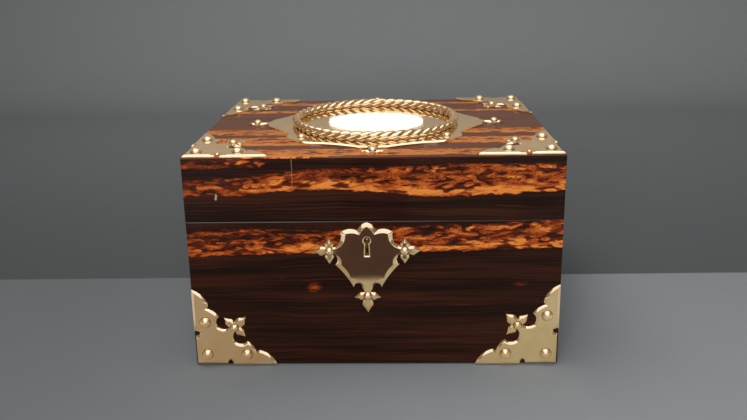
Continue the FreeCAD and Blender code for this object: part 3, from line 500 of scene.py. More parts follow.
class VeneerGrain:
    """The nodes of a veneer whose grain runs along one axis and is spread across another.

    The level is the place across the grain, bent by a slow drift. Every noise has a number of its own, which
    is added to the veneer's seed.
    """

    def __init__(self, name, grain, seed):
        self.graph = new_material(name)
        self.colours = bpy.context.scene.lock_box_colours
        self.seed = seed
        self.axes = self.graph.place().axes()
        self.along, self.across = (self.axes[number] for number in grain)
        self.share = self.along / (2 * HALF_WIDTH) + 0.5
        self.drift = self.noise(self.along / 70, self.across / 30, 0) - 0.5
        self.level = self.across + self.drift * 7
        self.ragged = self.noise(self.along / 9, self.across / 3.2, 17, 3.0, 0.6) - 0.5

    def noise(self, along, across, number, detail=2.0, roughness=0.5, distortion=0.0):
        """Soft noise from 0 to 1 over two numbers."""
        where = self.graph.vector(along, across, self.seed + number)
        return self.graph.noise(where, detail, roughness, distortion)

    def ground(self, lift):
        """Dark and brown streaks, each made paler by its own lift."""
        fine = self.noise(self.along / 110, self.level * 0.8, 3, 4.0, 0.65)
        broad = self.noise(self.along / 190, self.level / 11, 5)
        dark = shaded(self.colours.dark, lift[0])
        brown = shaded(self.colours.brown, lift[1])
        return (fine * 0.6 + broad * 0.4).step(0.40, 0.66).mix(dark, brown)

    def threads(self):
        """Faint threads of amber that come and go along the grain."""
        hair = self.noise(self.along / 90, self.level * 0.45, 23, 3.0, 0.6)
        spread = self.noise(self.along / 45, self.across / 9, 29, 1.0)
        return hair.step(0.56, 0.70) * spread.step(0.42, 0.66) * 0.22

    def line(self, stops):
        """Height of a band's floor or roof, a smooth curve through its stops."""
        span = 60.0
        level, *rises = stops
        return self.graph.curve(self.share, [(share, rise / span) for share, rise in rises]) * span + level

    def figure(self, bands):
        """Strength of the amber in the threads and the bands.

        A band lies between two wavy edges. In it, the level lines of a stretched noise and the outlines of
        stretched cells are drawn dark on a patchy glow, and a heart runs along its floor.
        """
        swirl = self.noise(self.along / 34, self.across / 9, 7) - 0.5
        along = self.along + swirl * 26
        across = self.level + swirl * 9
        field = self.noise(along / 20, across / 4.4, 11, 3.0, 0.5, 0.3)
        rings = abs((field * 11).fraction() - 0.5) * 2
        contour = rings.step(0.05, 0.42) * 0.60 + 0.40
        where = {"Vector": self.graph.vector(along / 6.5, across / 2.4, self.seed + 13), "Scale": 1.0}
        cells = self.graph.node("ShaderNodeTexVoronoi", {"feature": "SMOOTH_F1"}, where)
        chains = self.noise(self.along / 30, self.across / 6, 19, 1.0).step(0.38, 0.52)
        outlines = 1 - chains * cells.step(0.36, 0.58) * 0.72
        glow = self.noise(along / 42, across / 7, 37).step(0.28, 0.66)
        patches = self.noise(along / 15, across / 4, 41).step(0.38, 0.60)
        mottle = self.noise(self.along / 2.6, self.across / 1.2, 43)
        warm = (glow * 0.52 + patches * 0.32 + 0.38) * contour * outlines * (mottle * 0.6 + 0.70)
        edge = self.level - self.drift * 4 + self.ragged * 5
        figure = self.threads()
        for band in bands:
            floor = self.line(band.floor)
            inside = (edge - floor).step(-0.7, 0.7) * (self.line(band.roof) - edge).step(-2.0, 3.0)
            heart = 1 - abs(edge - floor - 4.0).step(0.5, 6.5)
            shown = warm * 0.78 + heart * outlines * (glow * 0.50 + 0.14)
            shown = shown * (patches * band.broken + (1 - band.broken))
            figure = figure.larger(inside * shown * (self.share * (band.right - band.left) + band.left))
        return figure

    def flecked(self, figure, flecks):
        """Adds soft ovals of amber to the figure."""
        for fleck in flecks:
            beside = (self.along - fleck.along) / fleck.half_length
            above = (self.level - fleck.across) / fleck.half_height
            oval = 1 - (beside ** 2 + above ** 2) + self.ragged * 2.2
            figure = figure.larger(oval.step(0.0, 1.3) * fleck.strength)
        return figure

    def coloured(self, ground, figure):
        """The ground under deep, middle and bright amber, as the figure grows stronger."""
        amber = self.colours.amber
        colour = figure.step(0.06, 0.36).mix(ground, shaded(amber, (0.13, 0.06, 0.10)))
        colour = figure.step(0.28, 0.68).mix(colour, shaded(amber, (0.50, 0.27, 0.23)))
        return figure.step(0.64, 1.15).mix(colour, amber)

    def marked(self, colour, marks, rims):
        """Draws marks, which are thin wandering lines across the grain, and rims, thin lines along it."""
        for mark in marks:
            wander = self.graph.noise(self.graph.vector(self.across / 8, self.seed, 0.0), 2.0) * 3 - 1.5
            line = 1 - abs(self.along - mark.along - wander).step(0.0, mark.width)
            line = line * (self.across - mark.low).step(0.0, 1.5) * (mark.high - self.across).step(-1.0, 1.0)
            colour = line.mix(colour, mark.colour)
        # Each rim fades towards the right; the rims laid here are a painted highlight and painted shade along
        # the joint.
        for rim in rims:
            line = 1 - abs(self.across - rim.across).step(rim.width * 0.4, rim.width)
            colour = (line * (1 - self.share.step(0.0, 1.0) * 0.7)).mix(colour, rim.colour)
        return colour


def figured_veneer(name, grain, seed, bands, flecks=(), marks=(), rims=(), lift=(1.0, 1.0), polish=0.12):
    """Dark streaky wood with bands and flecks of amber figure, polished to a high gloss."""
    wood = VeneerGrain(name, grain, seed)
    figure = wood.flecked(wood.figure(bands), flecks)
    colour = wood.coloured(wood.ground(lift), figure)
    pores = wood.noise(wood.along / 6, wood.across * 1.6, 31)
    wear = wood.graph.noise(wood.graph.vector(*(axis / 40 for axis in wood.axes)), 3.0)
    return wood.graph.surface(
        Base_Color=wood.marked(colour, marks, rims),
        Roughness=wear * 0.12 + 0.34,
        Specular_IOR_Level=0.08,
        Coat_Weight=polish,
        Coat_Roughness=0.04,
        Coat_IOR=1.4,
        Normal=wood.graph.bump(pores * 0.5 + wear, 0.05, 0.25),
    )


def plain_wood(name, grain):
    """Oiled carcass wood: long streaks along the grain, with small dark pores."""
    graph = new_material(name)
    axes = graph.place().axes()
    along, across, through = (axes[number] for number in grain)
    drift = graph.noise(graph.vector(along / 80, across / 20, through / 20), 2.0)
    streaks = graph.noise(graph.vector(along / 60, across * 0.5 + drift * 3, through * 0.5), 4.0, 0.6)
    pores = graph.noise(graph.vector(along / 5, across * 2.4, through * 2.4), 2.0).step(0.58, 0.72)
    colour = streaks.step(0.3, 0.7).mix((0.20, 0.085, 0.040), (0.36, 0.18, 0.095))
    colour = (pores * 0.6).mix(colour, (0.09, 0.035, 0.018))
    height = streaks * 0.5 - pores * 0.5
    return graph.surface(
        Base_Color=colour,
        Roughness=streaks * 0.2 + 0.45,
        Normal=graph.bump(height, 0.12, 0.4),
    )


def polished_brass(name, shade=1.0, rough=0.02, soiled_and_shaded=False):
    """Hand-polished brass: a faint waviness, cloudy tone and fine rubbing marks.

    A soiled_and_shaded piece carries a value, soil_and_shade, that darkens it where old polish has gathered
    at a stud's foot and paints the contact shade there too.
    """
    colours = bpy.context.scene.lock_box_colours
    graph = new_material(name)
    place = graph.place()
    cloud = graph.noise(place / 14, 3.0, 0.55)
    rub = graph.noise(place * 1.7, 2.0, 0.6)
    warm = shaded(colours.brass, shade)
    worn = shaded(warm, (0.94, 0.90, 0.82))
    colour = (cloud * 0.8 + rub * 0.2).step(0.35, 0.68).mix(warm, worn)
    wave = graph.noise(place / 9, 1.0)
    roughness = cloud * 0.04 + rub * 0.03 + rough
    if soiled_and_shaded:
        soil_and_shade = graph.node("ShaderNodeAttribute", {"attribute_name": "soil_and_shade"}, {}, "Fac")
        # Darkens with old polish and painted contact shade at a stud's foot.
        colour = soil_and_shade.mix(colour, (0.075, 0.045, 0.022))
        roughness = roughness + soil_and_shade * 0.3
    return graph.surface(
        Base_Color=colour,
        Metallic=1.0,
        Roughness=roughness,
        Normal=graph.bump(wave + rub * 0.02, 0.02, 0.5),
    )


def worked_metal(name, bright, dark, rough, grain):
    """Filed and drawn metal: fine lines along one axis over a cloudy tone."""
    graph = new_material(name)
    place = graph.place()
    stretch = [0.9, 0.9, 0.9]
    stretch[grain] = 0.04
    lines = graph.noise(place * stretch, 3.0, 0.6)
    cloud = graph.noise(place / 12, 3.0)
    colour = (cloud * 0.6 + lines * 0.4).step(0.32, 0.66).mix(dark, bright)
    return graph.surface(
        Base_Color=colour,
        Metallic=1.0,
        Roughness=lines * 0.18 + rough,
        Normal=graph.bump(lines, 0.03, 0.5),
    )


def velvet_pile(name):
    """Cut pile: soft clouds where it was brushed, a fine nap, and a sheen at glancing angles."""
    colours = bpy.context.scene.lock_box_colours
    graph = new_material(name)
    place = graph.place()
    brushed = graph.noise(place / 26, 3.0, 0.55)
    nap = graph.noise(place * 2.2, 2.0, 0.7)
    glance = graph.node("ShaderNodeLayerWeight", {}, {"Blend": 0.35}, "Facing")
    deep = shaded(colours.velvet, 0.45)
    pale = [min(1.0, part + 0.01) for part in shaded(colours.velvet, 1.7)]
    colour = (brushed * 0.7 + nap * 0.3).step(0.3, 0.7).mix(deep, colours.velvet)
    colour = (glance * 0.6).mix(colour, pale)
    return graph.surface(
        Base_Color=colour,
        Roughness=nap * 0.1 + 0.82,
        Specular_IOR_Level=0.1,
        Sheen_Weight=0.5,
        Sheen_Roughness=0.4,
        Sheen_Tint=pale,
        Normal=graph.bump(nap + brushed, 0.35, 0.5),
    )


def felted_cloth(name):
    """Baize: a matted nap with short fibres lying every way."""
    colours = bpy.context.scene.lock_box_colours
    graph = new_material(name)
    place = graph.place()
    mat = graph.noise(place / 3, 4.0, 0.7, 0.6)
    fibre = graph.noise(place * 1.4, 3.0, 0.7, 1.5)
    deep = shaded(colours.baize, 0.55)
    colour = (mat * 0.6 + fibre * 0.4).step(0.3, 0.7).mix(deep, colours.baize)
    return graph.surface(
        Base_Color=colour,
        Roughness=fibre * 0.1 + 0.85,
        Sheen_Weight=0.3,
        Normal=graph.bump(fibre + mat, 0.3, 0.6),
    )


def arc_points(outline, per_side):
    """Points on an outline of arcs. Each corner (x, y, bulge) starts an arc to the next corner.

    An arc's bulge is its height over half its chord, to the right of the way. With a as half the arc's
    opening, a point at angle f from -a to a lies (1 + sin f / sin a) / 2 of the chord along, and
    (cos f - cos a) / sin a / 2 of the chord to its right.
    """
    outline = np.asarray(outline, float)
    corners = outline[:, :2]
    chords = np.roll(corners, -1, axis=0) - corners
    right = np.stack([chords[:, 1], -chords[:, 0]], axis=1)
    bulge = np.where(np.abs(outline[:, 2:]) < 1e-6, 1e-6, outline[:, 2:])
    opening = 2 * np.arctan(bulge)
    angle = opening * np.linspace(-1, 1, per_side, endpoint=False)
    along = (1 + np.sin(angle) / np.sin(opening)) / 2
    out = (np.cos(angle) - np.cos(opening)) / np.sin(opening) / 2
    points = corners[:, None] + along[..., None] * chords[:, None] + out[..., None] * right[:, None]
    return points.reshape(-1, 2)


def inset(outline, width):
    """An outline moved inwards by a width, or by one for each corner.

    Corners move along their mitres, and middles of arcs move square to their chords.
    """
    outline = np.asarray(outline, float)
    width = np.broadcast_to(width, len(outline))
    mean = (width + np.roll(width, -1)) / 2
    corners = outline[:, :2]
    bulge = outline[:, 2]
    chords = np.roll(corners, -1, axis=0) - corners
    heading = np.arctan2(chords[:, 1], chords[:, 0])
    swing = 2 * np.arctan(bulge)
    into = np.roll(heading + swing, 1)
    half_turn = (heading - swing - into + np.pi) % (2 * np.pi) / 2 - np.pi / 2
    mitre = width / np.maximum(np.cos(half_turn), SHARPEST_MITRE)
    reach = np.where(half_turn > 0, mitre, width)[:, None]
    facing = into + half_turn
    moved = corners + reach * np.stack([-np.sin(facing), np.cos(facing)], axis=1)
    following = np.roll(moved, -1, axis=0)
    height = (bulge * np.hypot(*chords.T) / 2 - mean)[:, None]
    middle = corners + chords / 2 + height * np.stack([np.sin(heading), -np.cos(heading)], axis=1)
    off = middle - (moved + following) / 2
    way = following - moved
    swell = 2 * (off[:, 0] * way[:, 1] - off[:, 1] * way[:, 0]) / (way ** 2).sum(axis=1)
    return np.column_stack([moved, np.where(bulge == 0, 0, swell)])


def rings_of(outline, profile, per_side, width=1.0):
    """Rings of a slab: the outline set in by each offset of the profile, times the width, and raised."""
    rows = []
    for offset, height in profile:
        flat = arc_points(inset(outline, offset * np.asarray(width)), per_side)
        rows.append(np.column_stack([flat, np.full(len(flat), height)]))
    return np.stack(rows)


def rounded_edge(width, low, high, steps=4):
    """Offsets and heights of an edge rounded as a quarter of an ellipse, from its side to its face."""
    angle = np.linspace(0, np.pi / 2, steps + 1)
    return list(zip(width * (1 - np.cos(angle)), low + (high - low) * np.sin(angle)))


def plate_edge():
    """A plate's side and bevel: shares of the bevel's width, and heights.

    The bevel is a slope that eases off a little towards the face: 0.65 s + 0.35 sin(s * 90 degrees) of
    its rise at the share s of its width.
    """
    share = np.array([0.0, 0.06, 0.25, 0.5, 0.75, 0.94, 1.0])
    rise = 0.65 * share + 0.35 * np.sin(share * np.pi / 2)
    heights = PLATE_SIDE + (PLATE - PLATE_SIDE) * rise
    return [(0, 0), *zip(share, heights), (1.1, PLATE)]


def full_turn(steps):
    """Angles at equal steps once round."""
    return np.linspace(0, 2 * np.pi, steps, endpoint=False)


def grid_quads(index, round_about=True):
    """Corners of the quads of a grid of numbered points; its last column may join its first."""
    if round_about:
        index = np.concatenate([index, index[..., :1]], axis=-1)
    near, far = index[..., :-1, :], index[..., 1:, :]
    quads = np.stack([near[..., :-1], near[..., 1:], far[..., 1:], far[..., :-1]], axis=-1)
    return quads.reshape(-1, 4).tolist()


def skin(rings, closed=False):
    """Faces between rings[copy, row, column]: quads all round, and a cap at both ends or a closed loop."""
    index = np.arange(rings[..., 0].size).reshape(rings.shape[:3])
    if closed:
        index = np.concatenate([index, index[:, :1]], axis=1)
    faces = grid_quads(index)
    if not closed:
        faces += index[:, 0, ::-1].tolist() + index[:, -1].tolist()
    return rings.reshape(-1, 3), faces


def pierced_skin(rings, foot, hole, hole_foot):
    """Faces of a slab with a hole. Both are cut in two from their first column to their foot column."""
    outer = np.arange(rings[..., 0].size).reshape(rings.shape[:2])
    inner = np.arange(hole[..., 0].size).reshape(hole.shape[:2]) + outer.size
    faces = grid_quads(outer) + grid_quads(inner)
    for ring, rim, turned in ((outer[-1], inner[0], False), (outer[0], inner[-1], True)):
        ring = np.append(ring, ring[0])
        rim = np.append(rim, rim[0])
        left = np.append(ring[: foot + 1], rim[: hole_foot + 1][::-1])
        right = np.append(ring[foot:], rim[hole_foot:][::-1])
        faces += [half[::-1].tolist() if turned else half.tolist() for half in (left, right)]
    return np.concatenate([rings.reshape(-1, 3), hole.reshape(-1, 3)]), faces


def on_front(points, x, z, y=FRONT_Y):
    """From a plate's own plane to the front of the box: its right is x, its up is z, its face is -y."""
    return np.stack([x + points[..., 0], y - points[..., 2], z + points[..., 1]], axis=-1)


def on_top(points, x, y, z=LID_TOP):
    """From a plate's own plane to the top of the lid: its face is up."""
    return points + np.array([x, y, z])


def new_piece(name, points, faces, material, body, slot, replaces=(), crease=35.0):
    """A shown mesh that rides on a body and stands for CAD nodes."""
    mesh = bpy.data.meshes.new(name)
    mesh.from_pydata((np.asarray(points) * MM).tolist(), [], faces)
    mesh.shade_smooth()
    mesh.set_sharp_from_angle(angle=math.radians(crease))
    mesh.materials.append(material)
    piece = bpy.data.objects.new(name, mesh)
    bpy.context.scene.collection.objects.link(piece)
    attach(piece, body)
    if replaces:
        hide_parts(*replaces)
    return piece


def paint(material, *nodes):
    """Puts a material on CAD nodes whose shape is right as it is."""
    for node in nodes:
        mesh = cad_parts[node].data
        mesh.materials.clear()
        mesh.materials.append(material)


def polar(centre, distance, angle, aside=0.0):
    """A point at a distance from a centre along an angle, and aside of that way to its left."""
    turn = math.radians(angle)
    ahead = np.array([math.cos(turn), math.sin(turn)])
    left = np.array([-math.sin(turn), math.cos(turn)])
    return tuple(np.asarray(centre, float) + distance * ahead + aside * left)


def trefoil(centre, heading, root, side_leaf, end_leaf, spread=90):
    """Corners from the right root round three shouldered, pointed leaves to the left root."""
    points = []
    for quarter, turn, length in ((-1, -spread, side_leaf), (0, 0, end_leaf), (1, spread, side_leaf)):
        along = heading + turn
        shoulder = LEAF_SHOULDER * length
        half = LEAF_HALF * length
        points.append((*polar(centre, root, heading + 90 * quarter - 45), LEAF))
        points.append((*polar(centre, shoulder, along, -half), LEAF_TIP))
        points.append((*polar(centre, length, along), LEAF_TIP))
        points.append((*polar(centre, shoulder, along, half), LEAF))
    points.append((*polar(centre, root, heading + 135), 0))
    return points


def backwards(path):
    """A stretch of outline run the other way, without its last point."""
    turned = path[::-1]
    return [(x, y, following[2]) for (x, y, _), following in zip(turned, turned[1:])]


def mirrored(outline, across, up):
    """A closed outline flipped across one or both axes, still running the same way round."""
    flipped = [(across * x, up * y, bulge) for x, y, bulge in outline]
    if across * up > 0:
        return flipped
    return backwards(flipped + flipped[:1])


def corner_outline(leg_up):
    """Scalloped corner plate with a trefoil on its diagonal and one of its two legs stretched."""
    leaves = trefoil((TREFOIL_AT, TREFOIL_AT), 45, *CORNER_LEAVES)
    leaves[-1] = (*leaves[-1][:2], BAY)
    points = [
        (1.0, 1.0, 0),
        (26.3, 1.0, NOTCH),
        (28.5, 4.5, NOTCH),
        (30.7, 0, 0),
        (LEG, 0, LOBE),
        (53.5, 13.0, LOBE_END),
        (50.6, 11.4, HORN),
        (43.5, 21.3, BAY),
        *leaves,
        (21.3, 43.5, HORN),
        (11.4, 50.6, LOBE_END),
        (13.0, 53.5, LOBE),
        (0, LEG, 0),
        (0, 30.7, NOTCH),
        (4.5, 28.5, NOTCH),
        (1.0, 26.3, 0),
    ]
    return [(x, y * leg_up / LEG, bulge) for x, y, bulge in points]


def centre_outline():
    """Lid plate with a trefoil at each of its four ends and a pointed lobe in each quarter."""
    side = trefoil((CENTRE_X, 0), 0, *CENTRE_LEAVES)[END_TIP:]
    end = trefoil((0, CENTRE_Y), 90, *CENTRE_LEAVES)[:END_TIP + 1]
    side[-1] = (*side[-1][:2], CENTRE_BAY)
    quarter = [
        *side,
        (97.0, 11.0, CENTRE_FLANK),
        (75.0, 43.0, CENTRE_LOBE),
        (68.0, 64.0, CENTRE_LOBE),
        (46.0, 77.0, CENTRE_FLANK),
        (11.0, 91.0, CENTRE_BAY),
        *end,
    ]
    points = []
    for across, up in ((1, 1), (-1, 1), (-1, -1), (1, -1)):
        path = [(across * x, up * y, bulge) for x, y, bulge in quarter]
        points += path[:-1] if across * up > 0 else backwards(path)
    return points


def shield_outline(wide, narrow):
    """Pointed shield with a trefoil at each side and one at its foot.

    Gives its corners, the bevel's width at each of them, and the number of its foot corner.
    """
    side = trefoil((-SHIELD_SIDE[0], -SHIELD_SIDE[1]), 180, *SHIELD_SIDE_LEAVES)
    side[-1] = (*side[-1][:2], SHOULDER)
    tail = trefoil((0, -SHIELD_FOOT), 270, *SHIELD_FOOT_LEAVES, SHIELD_FOOT_SPREAD)[:END_TIP + 1]
    left = [
        (0, 0, CROWN),
        (-7.2, -7.3, BROW),
        (-20.8, -8.6, CHEEK),
        *side,
        (-25.6, -35.8, FLANK),
        (-11.2, -55.6, FOOT_BAY),
        (-4.2, -55.6, 0),
        *tail,
    ]
    right = backwards([(-x, y, bulge) for x, y, bulge in left])
    widths = [wide] * 3 + [narrow] * len(side) + [wide] * 2 + [narrow] * (1 + len(tail))
    return left[:-1] + right, widths[:-1] + widths[:0:-1], len(left) - 1


def keyhole_rings(profile):
    """A round eye over a slot, from the top of the eye round by the left, and the column of its foot."""
    rise = -math.sqrt(KEY_EYE ** 2 - KEY_SLOT ** 2)
    outline = [
        (-KEY_SLOT_FOOT, -KEY_SLOT_LENGTH, 0),
        (KEY_SLOT_FOOT, -KEY_SLOT_LENGTH, 0),
        (KEY_SLOT, rise, (KEY_EYE - rise) / KEY_SLOT),
        (-KEY_SLOT, rise, 0),
    ]
    rings = rings_of(outline, profile, ARC_STEPS)
    return np.roll(rings, -5 * ARC_STEPS // 2, axis=1), 2 * ARC_STEPS


def corner_spots(leg_up, far_up):
    """Places of the three large studs of a corner plate, and of the small one on its trefoil."""
    large = [(STUD_NEAR, STUD_NEAR), (STUD_FAR, STUD_NEAR), (STUD_NEAR, far_up)]
    return large, [(TREFOIL_AT, TREFOIL_AT * leg_up / LEG)]


def rectangle(low, high, first=X, second=Y):
    """Outline of a box across two of its axes."""
    return [
        (low[first], low[second], 0),
        (high[first], low[second], 0),
        (high[first], high[second], 0),
        (low[first], high[second], 0),
    ]


def veneer_edge(edge, thick):
    """Offsets and heights of a veneer's side, its rounded edge and a strip of its face."""
    return [(0, 0), *rounded_edge(edge, thick - edge, thick), (edge + VENEER_STRIP, thick)]


def wall_slab(low, high, face, edge):
    """A veneer of a box's size: its four outer edges are rounded, and it is flat on its glued side.

    The outline is the rectangle of the two axes across the face; face is (axis, sign).
    """
    axis, sign = face
    across = [number for number in (X, Y, Z) if number != axis]
    first, second = across if (sign > 0) != (axis == Y) else across[::-1]
    profile = veneer_edge(edge, high[axis] - low[axis])
    rings = rings_of(rectangle(low, high, first, second), profile, VENEER_STEPS)
    points = np.empty_like(rings)
    points[..., first] = rings[..., 0]
    points[..., second] = rings[..., 1]
    points[..., axis] = low[axis] + rings[..., 2] if sign > 0 else high[axis] - rings[..., 2]
    return skin(points[None])


class LOCKBOX_OT_veneers(bpy.types.Operator):
    """Lay the figured veneers of the base and the lid"""

    bl_idname = "lock_box.veneers"
    bl_label = "Veneers"

    def execute(self, context):
        edge = context.scene.lock_box_sizes.edge / MM
        base_front = figured_veneer(
            "veneer_front_base", (X, Z), 4.0, [BASE_BAND], flecks=BASE_FLECKS, rims=[JOINT_HIGHLIGHT_RIM]
        )
        lid_front = figured_veneer(
            "veneer_front_lid", (X, Z), 9.0, [LID_BAND, LID_UPPER_BAND], marks=LID_MARKS, rims=[JOINT_SHADE_RIM]
        )
        sides_base = figured_veneer("veneer_side_base", (Y, Z), 15.0, [BASE_BAND])
        sides_lid = figured_veneer("veneer_side_lid", (Y, Z), 21.0, [LID_BAND])
        lid_top = figured_veneer("veneer_top", (X, Y), 33.0, self.stripes(), lift=(14.0, 5.0), polish=0.2)
        flat = (
            ("veneer_base_left", "base", sides_base, (X, -1)),
            ("veneer_base_right", "base", sides_base, (X, 1)),
            ("veneer_lid_front", "lid", lid_front, (Y, -1)),
            ("veneer_lid_left", "lid", sides_lid, (X, -1)),
            ("veneer_lid_right", "lid", sides_lid, (X, 1)),
            ("veneer_lid_top", "lid", lid_top, (Z, 1)),
        )
        for node, body, material, face in flat:
            points, faces = wall_slab(*node_box(node), face, edge)
            new_piece("finished_" + node, points, faces, material, body, "veneer", [node])
        self.pierced_front(base_front, edge)
        paint(base_front, "veneer_base_back")
        paint(lid_front, "veneer_lid_back")
        return {"FINISHED"}

    def stripes(self):
        """Bands along the lid's top, with slightly wavy edges."""
        bands = []
        for start, width, strength in TOP_STRIPES:
            floor = (start, (0.0, 4.0), (0.3, 2.0), (0.6, 5.0), (1.0, 3.0))
            roof = (start + width, (0.0, 3.0), (0.4, 5.0), (0.7, 2.0), (1.0, 4.0))
            bands.append(Band(floor, roof, strength, strength, 0.0))
        return bands

    def pierced_front(self, material, edge):
        """The base's front veneer, cut through for the key."""
        node = "veneer_base_front"
        low, high = node_box(node)
        thick = high[Y] - low[Y]
        outline = [
            (SHIELD_X, high[Z], 0),
            (low[X], high[Z], 0),
            (low[X], low[Z], 0),
            (SHIELD_X, low[Z], 0),
            (high[X], low[Z], 0),
            (high[X], high[Z], 0),
        ]
        foot = 3 * VENEER_STEPS
        rings = rings_of(outline, veneer_edge(edge, thick), VENEER_STEPS)
        hole, hole_foot = keyhole_rings([(0, thick), (0, 0)])
        rings = on_front(rings, 0, 0, high[Y])
        hole = on_front(hole, SHIELD_X, KEY_Z, high[Y])
        points, faces = pierced_skin(rings, foot, hole, hole_foot)
        new_piece("finished_" + node, points, faces, material, "base", "veneer", [node])


class LOCKBOX_OT_plates(bpy.types.Operator):
    """Fit the bevelled brass plates and the keyhole shield"""

    bl_idname = "lock_box.plates"
    bl_label = "Brass plates"

    def execute(self, context):
        sizes = context.scene.lock_box_sizes
        bevel = sizes.bevel / MM
        brass = polished_brass("brass_plates")
        corner_x = HALF_WIDTH - PLATE_INSET
        plates = []
        for side, across, rise in (("left", 1, LEFT_RISE), ("right", -1, RIGHT_RISE)):
            outline = mirrored(corner_outline(rise), across, 1)
            spot = (-across * corner_x, FOOT + PLATE_INSET)
            plates.append(("base_corner_plate_" + side, "base", outline, bevel, on_front, spot))
        for side, across in (("left", 1), ("right", -1)):
            for end, up in (("front", 1), ("back", -1)):
                outline = mirrored(corner_outline(LID_SIDE_LEG), across, up)
                spot = (-across * corner_x, up * (FRONT_Y + PLATE_INSET))
                plates.append(("lid_corner_plate_%s_%s" % (end, side), "lid", outline, bevel, on_top, spot))
        centre_bevel = sizes.centre_bevel / MM
        plates.append(("lid_centre_plate", "lid", centre_outline(), centre_bevel, on_top, (0, 0)))
        for node, body, outline, width, place, spot in plates:
            rings = place(rings_of(outline, plate_edge(), ARC_STEPS, width), *spot)
            new_piece("bevelled_" + node, *skin(rings[None]), brass, body, "brass", [node])
        self.pierced_shield(brass, sizes)
        return {"FINISHED"}

    def pierced_shield(self, brass, sizes):
        """The keyhole shield, cut through for the key, with a rounded rim to the hole."""
        outline, widths, foot = shield_outline(sizes.shield_bevel / MM, sizes.bevel / MM)
        rings = rings_of(outline, plate_edge(), ARC_STEPS, widths)
        rim = sizes.keyhole_bevel / MM
        edge = [(-offset, height) for offset, height in rounded_edge(rim, PLATE - rim, PLATE)]
        hole, hole_foot = keyhole_rings([(-rim - KEYHOLE_STRIP, PLATE), *edge[::-1], (0, 0)])
        rings = on_front(rings, SHIELD_X, SHIELD_TOP)
        hole = on_front(hole, SHIELD_X, KEY_Z)
        points, faces = pierced_skin(rings, ARC_STEPS * foot, hole, hole_foot)
        new_piece("bevelled_escutcheon", points, faces, brass, "base", "brass", ["escutcheon"])


class LOCKBOX_OT_studs(bpy.types.Operator):
    """Drive the domed studs that hold the plates"""

    bl_idname = "lock_box.studs"
    bl_label = "Studs"

    def execute(self, context):
        brass = polished_brass("brass_studs", shade=1.08, rough=0.26, soiled_and_shaded=True)
        corner_x = HALF_WIDTH - PLATE_INSET
        front = {"large": [], "small": []}
        top = {"large": [], "small": []}
        for across, rise, far in ((1, LEFT_RISE, LEFT_STUD), (-1, RIGHT_RISE, RIGHT_STUD)):
            for kind, spots in zip(front, corner_spots(rise, far)):
                front[kind] += [(across * (u - corner_x), FOOT + PLATE_INSET + v) for u, v in spots]
        for across in (1, -1):
            for up in (1, -1):
                for kind, spots in zip(top, corner_spots(LID_SIDE_LEG, LID_STUD)):
                    rim = FRONT_Y + PLATE_INSET
                    top[kind] += [(across * (u - corner_x), up * (rim + v)) for u, v in spots]
        shield = [(SHIELD_X + u, SHIELD_TOP + v) for u, v in (
            (-SHIELD_SIDE[0], -SHIELD_SIDE[1]),
            (SHIELD_SIDE[0], -SHIELD_SIDE[1]),
            (0, -SHIELD_FOOT),
        )]
        centre = [(CENTRE_X, 0), (-CENTRE_X, 0), (0, CENTRE_Y), (0, -CENTRE_Y)]
        centre += [(a * CENTRE_STUD[0], b * CENTRE_STUD[1]) for a in (-1, 1) for b in (-1, 1)]
        groups = (
            ("base_corner_studs", LARGE_STUD, front["large"], "base"),
            ("base_cusp_studs", SMALL_STUD, front["small"], "base"),
            ("escutcheon_studs", SMALL_STUD, shield, "base"),
            ("lid_corner_studs", LARGE_STUD, top["large"], "lid"),
            ("lid_cusp_studs", SMALL_STUD, top["small"], "lid"),
            ("centre_plate_studs", SMALL_STUD, centre, "lid"),
        )
        for node, (radius, dome), spots, body in groups:
            rings, soil_and_shade = self.domes(radius, dome, np.array(spots, float))
            if body == "base":
                rings = on_front(rings, 0, 0, FRONT_Y - PLATE)
            else:
                rings = on_top(rings, 0, 0, LID_TOP + PLATE)
            piece = new_piece("domed_" + node, *skin(rings), brass, body, "brass", [node], crease=60.0)
            piece.data.attributes.new("soil_and_shade", "FLOAT", "POINT").data.foreach_set("value", soil_and_shade)
        return {"FINISHED"}

    def domes(self, radius, dome, spots):
        """Turned heads on a thin ring of old polish and painted contact shade: part of a ball from the foot
        to the crown.

        Rings lie at equal steps of the angle from the crown, so that the dome is evenly smooth. The
        soil_and_shade, old polish and painted contact shade together, falls from 1 at the foot to 0 above a
        tenth of the dome.
        """
        ball = (radius ** 2 + dome ** 2) / (2 * dome)
        widest = math.acos((ball - dome) / ball)
        angle = np.linspace(widest, 0.03, STUD_STEPS)
        crust = 0.06
        foot_reach = [radius + 0.25, radius + 0.25, radius + 0.05]
        foot_height = [-0.1, 0.03, crust]
        reach = np.concatenate([foot_reach, ball * np.sin(angle)])
        height = np.concatenate([foot_height, dome - ball + ball * np.cos(angle) + 0.1 * angle / widest])
        # Old polish and painted contact shade, strongest at each dome's foot.
        soil_and_shade = np.clip(1 - (height - crust) / (0.10 * dome), 0, 1)
        turn = full_turn(STUD_SIDES)
        shape = (len(spots), len(reach), len(turn))
        rings = np.stack([
            np.broadcast_to(spots[:, 0, None, None] + reach[None, :, None] * np.cos(turn), shape),
            np.broadcast_to(spots[:, 1, None, None] + reach[None, :, None] * np.sin(turn), shape),
            np.broadcast_to(height[None, :, None], shape),
        ], axis=-1)
        return rings, np.broadcast_to(soil_and_shade[None, :, None], shape).ravel().astype(np.float32)


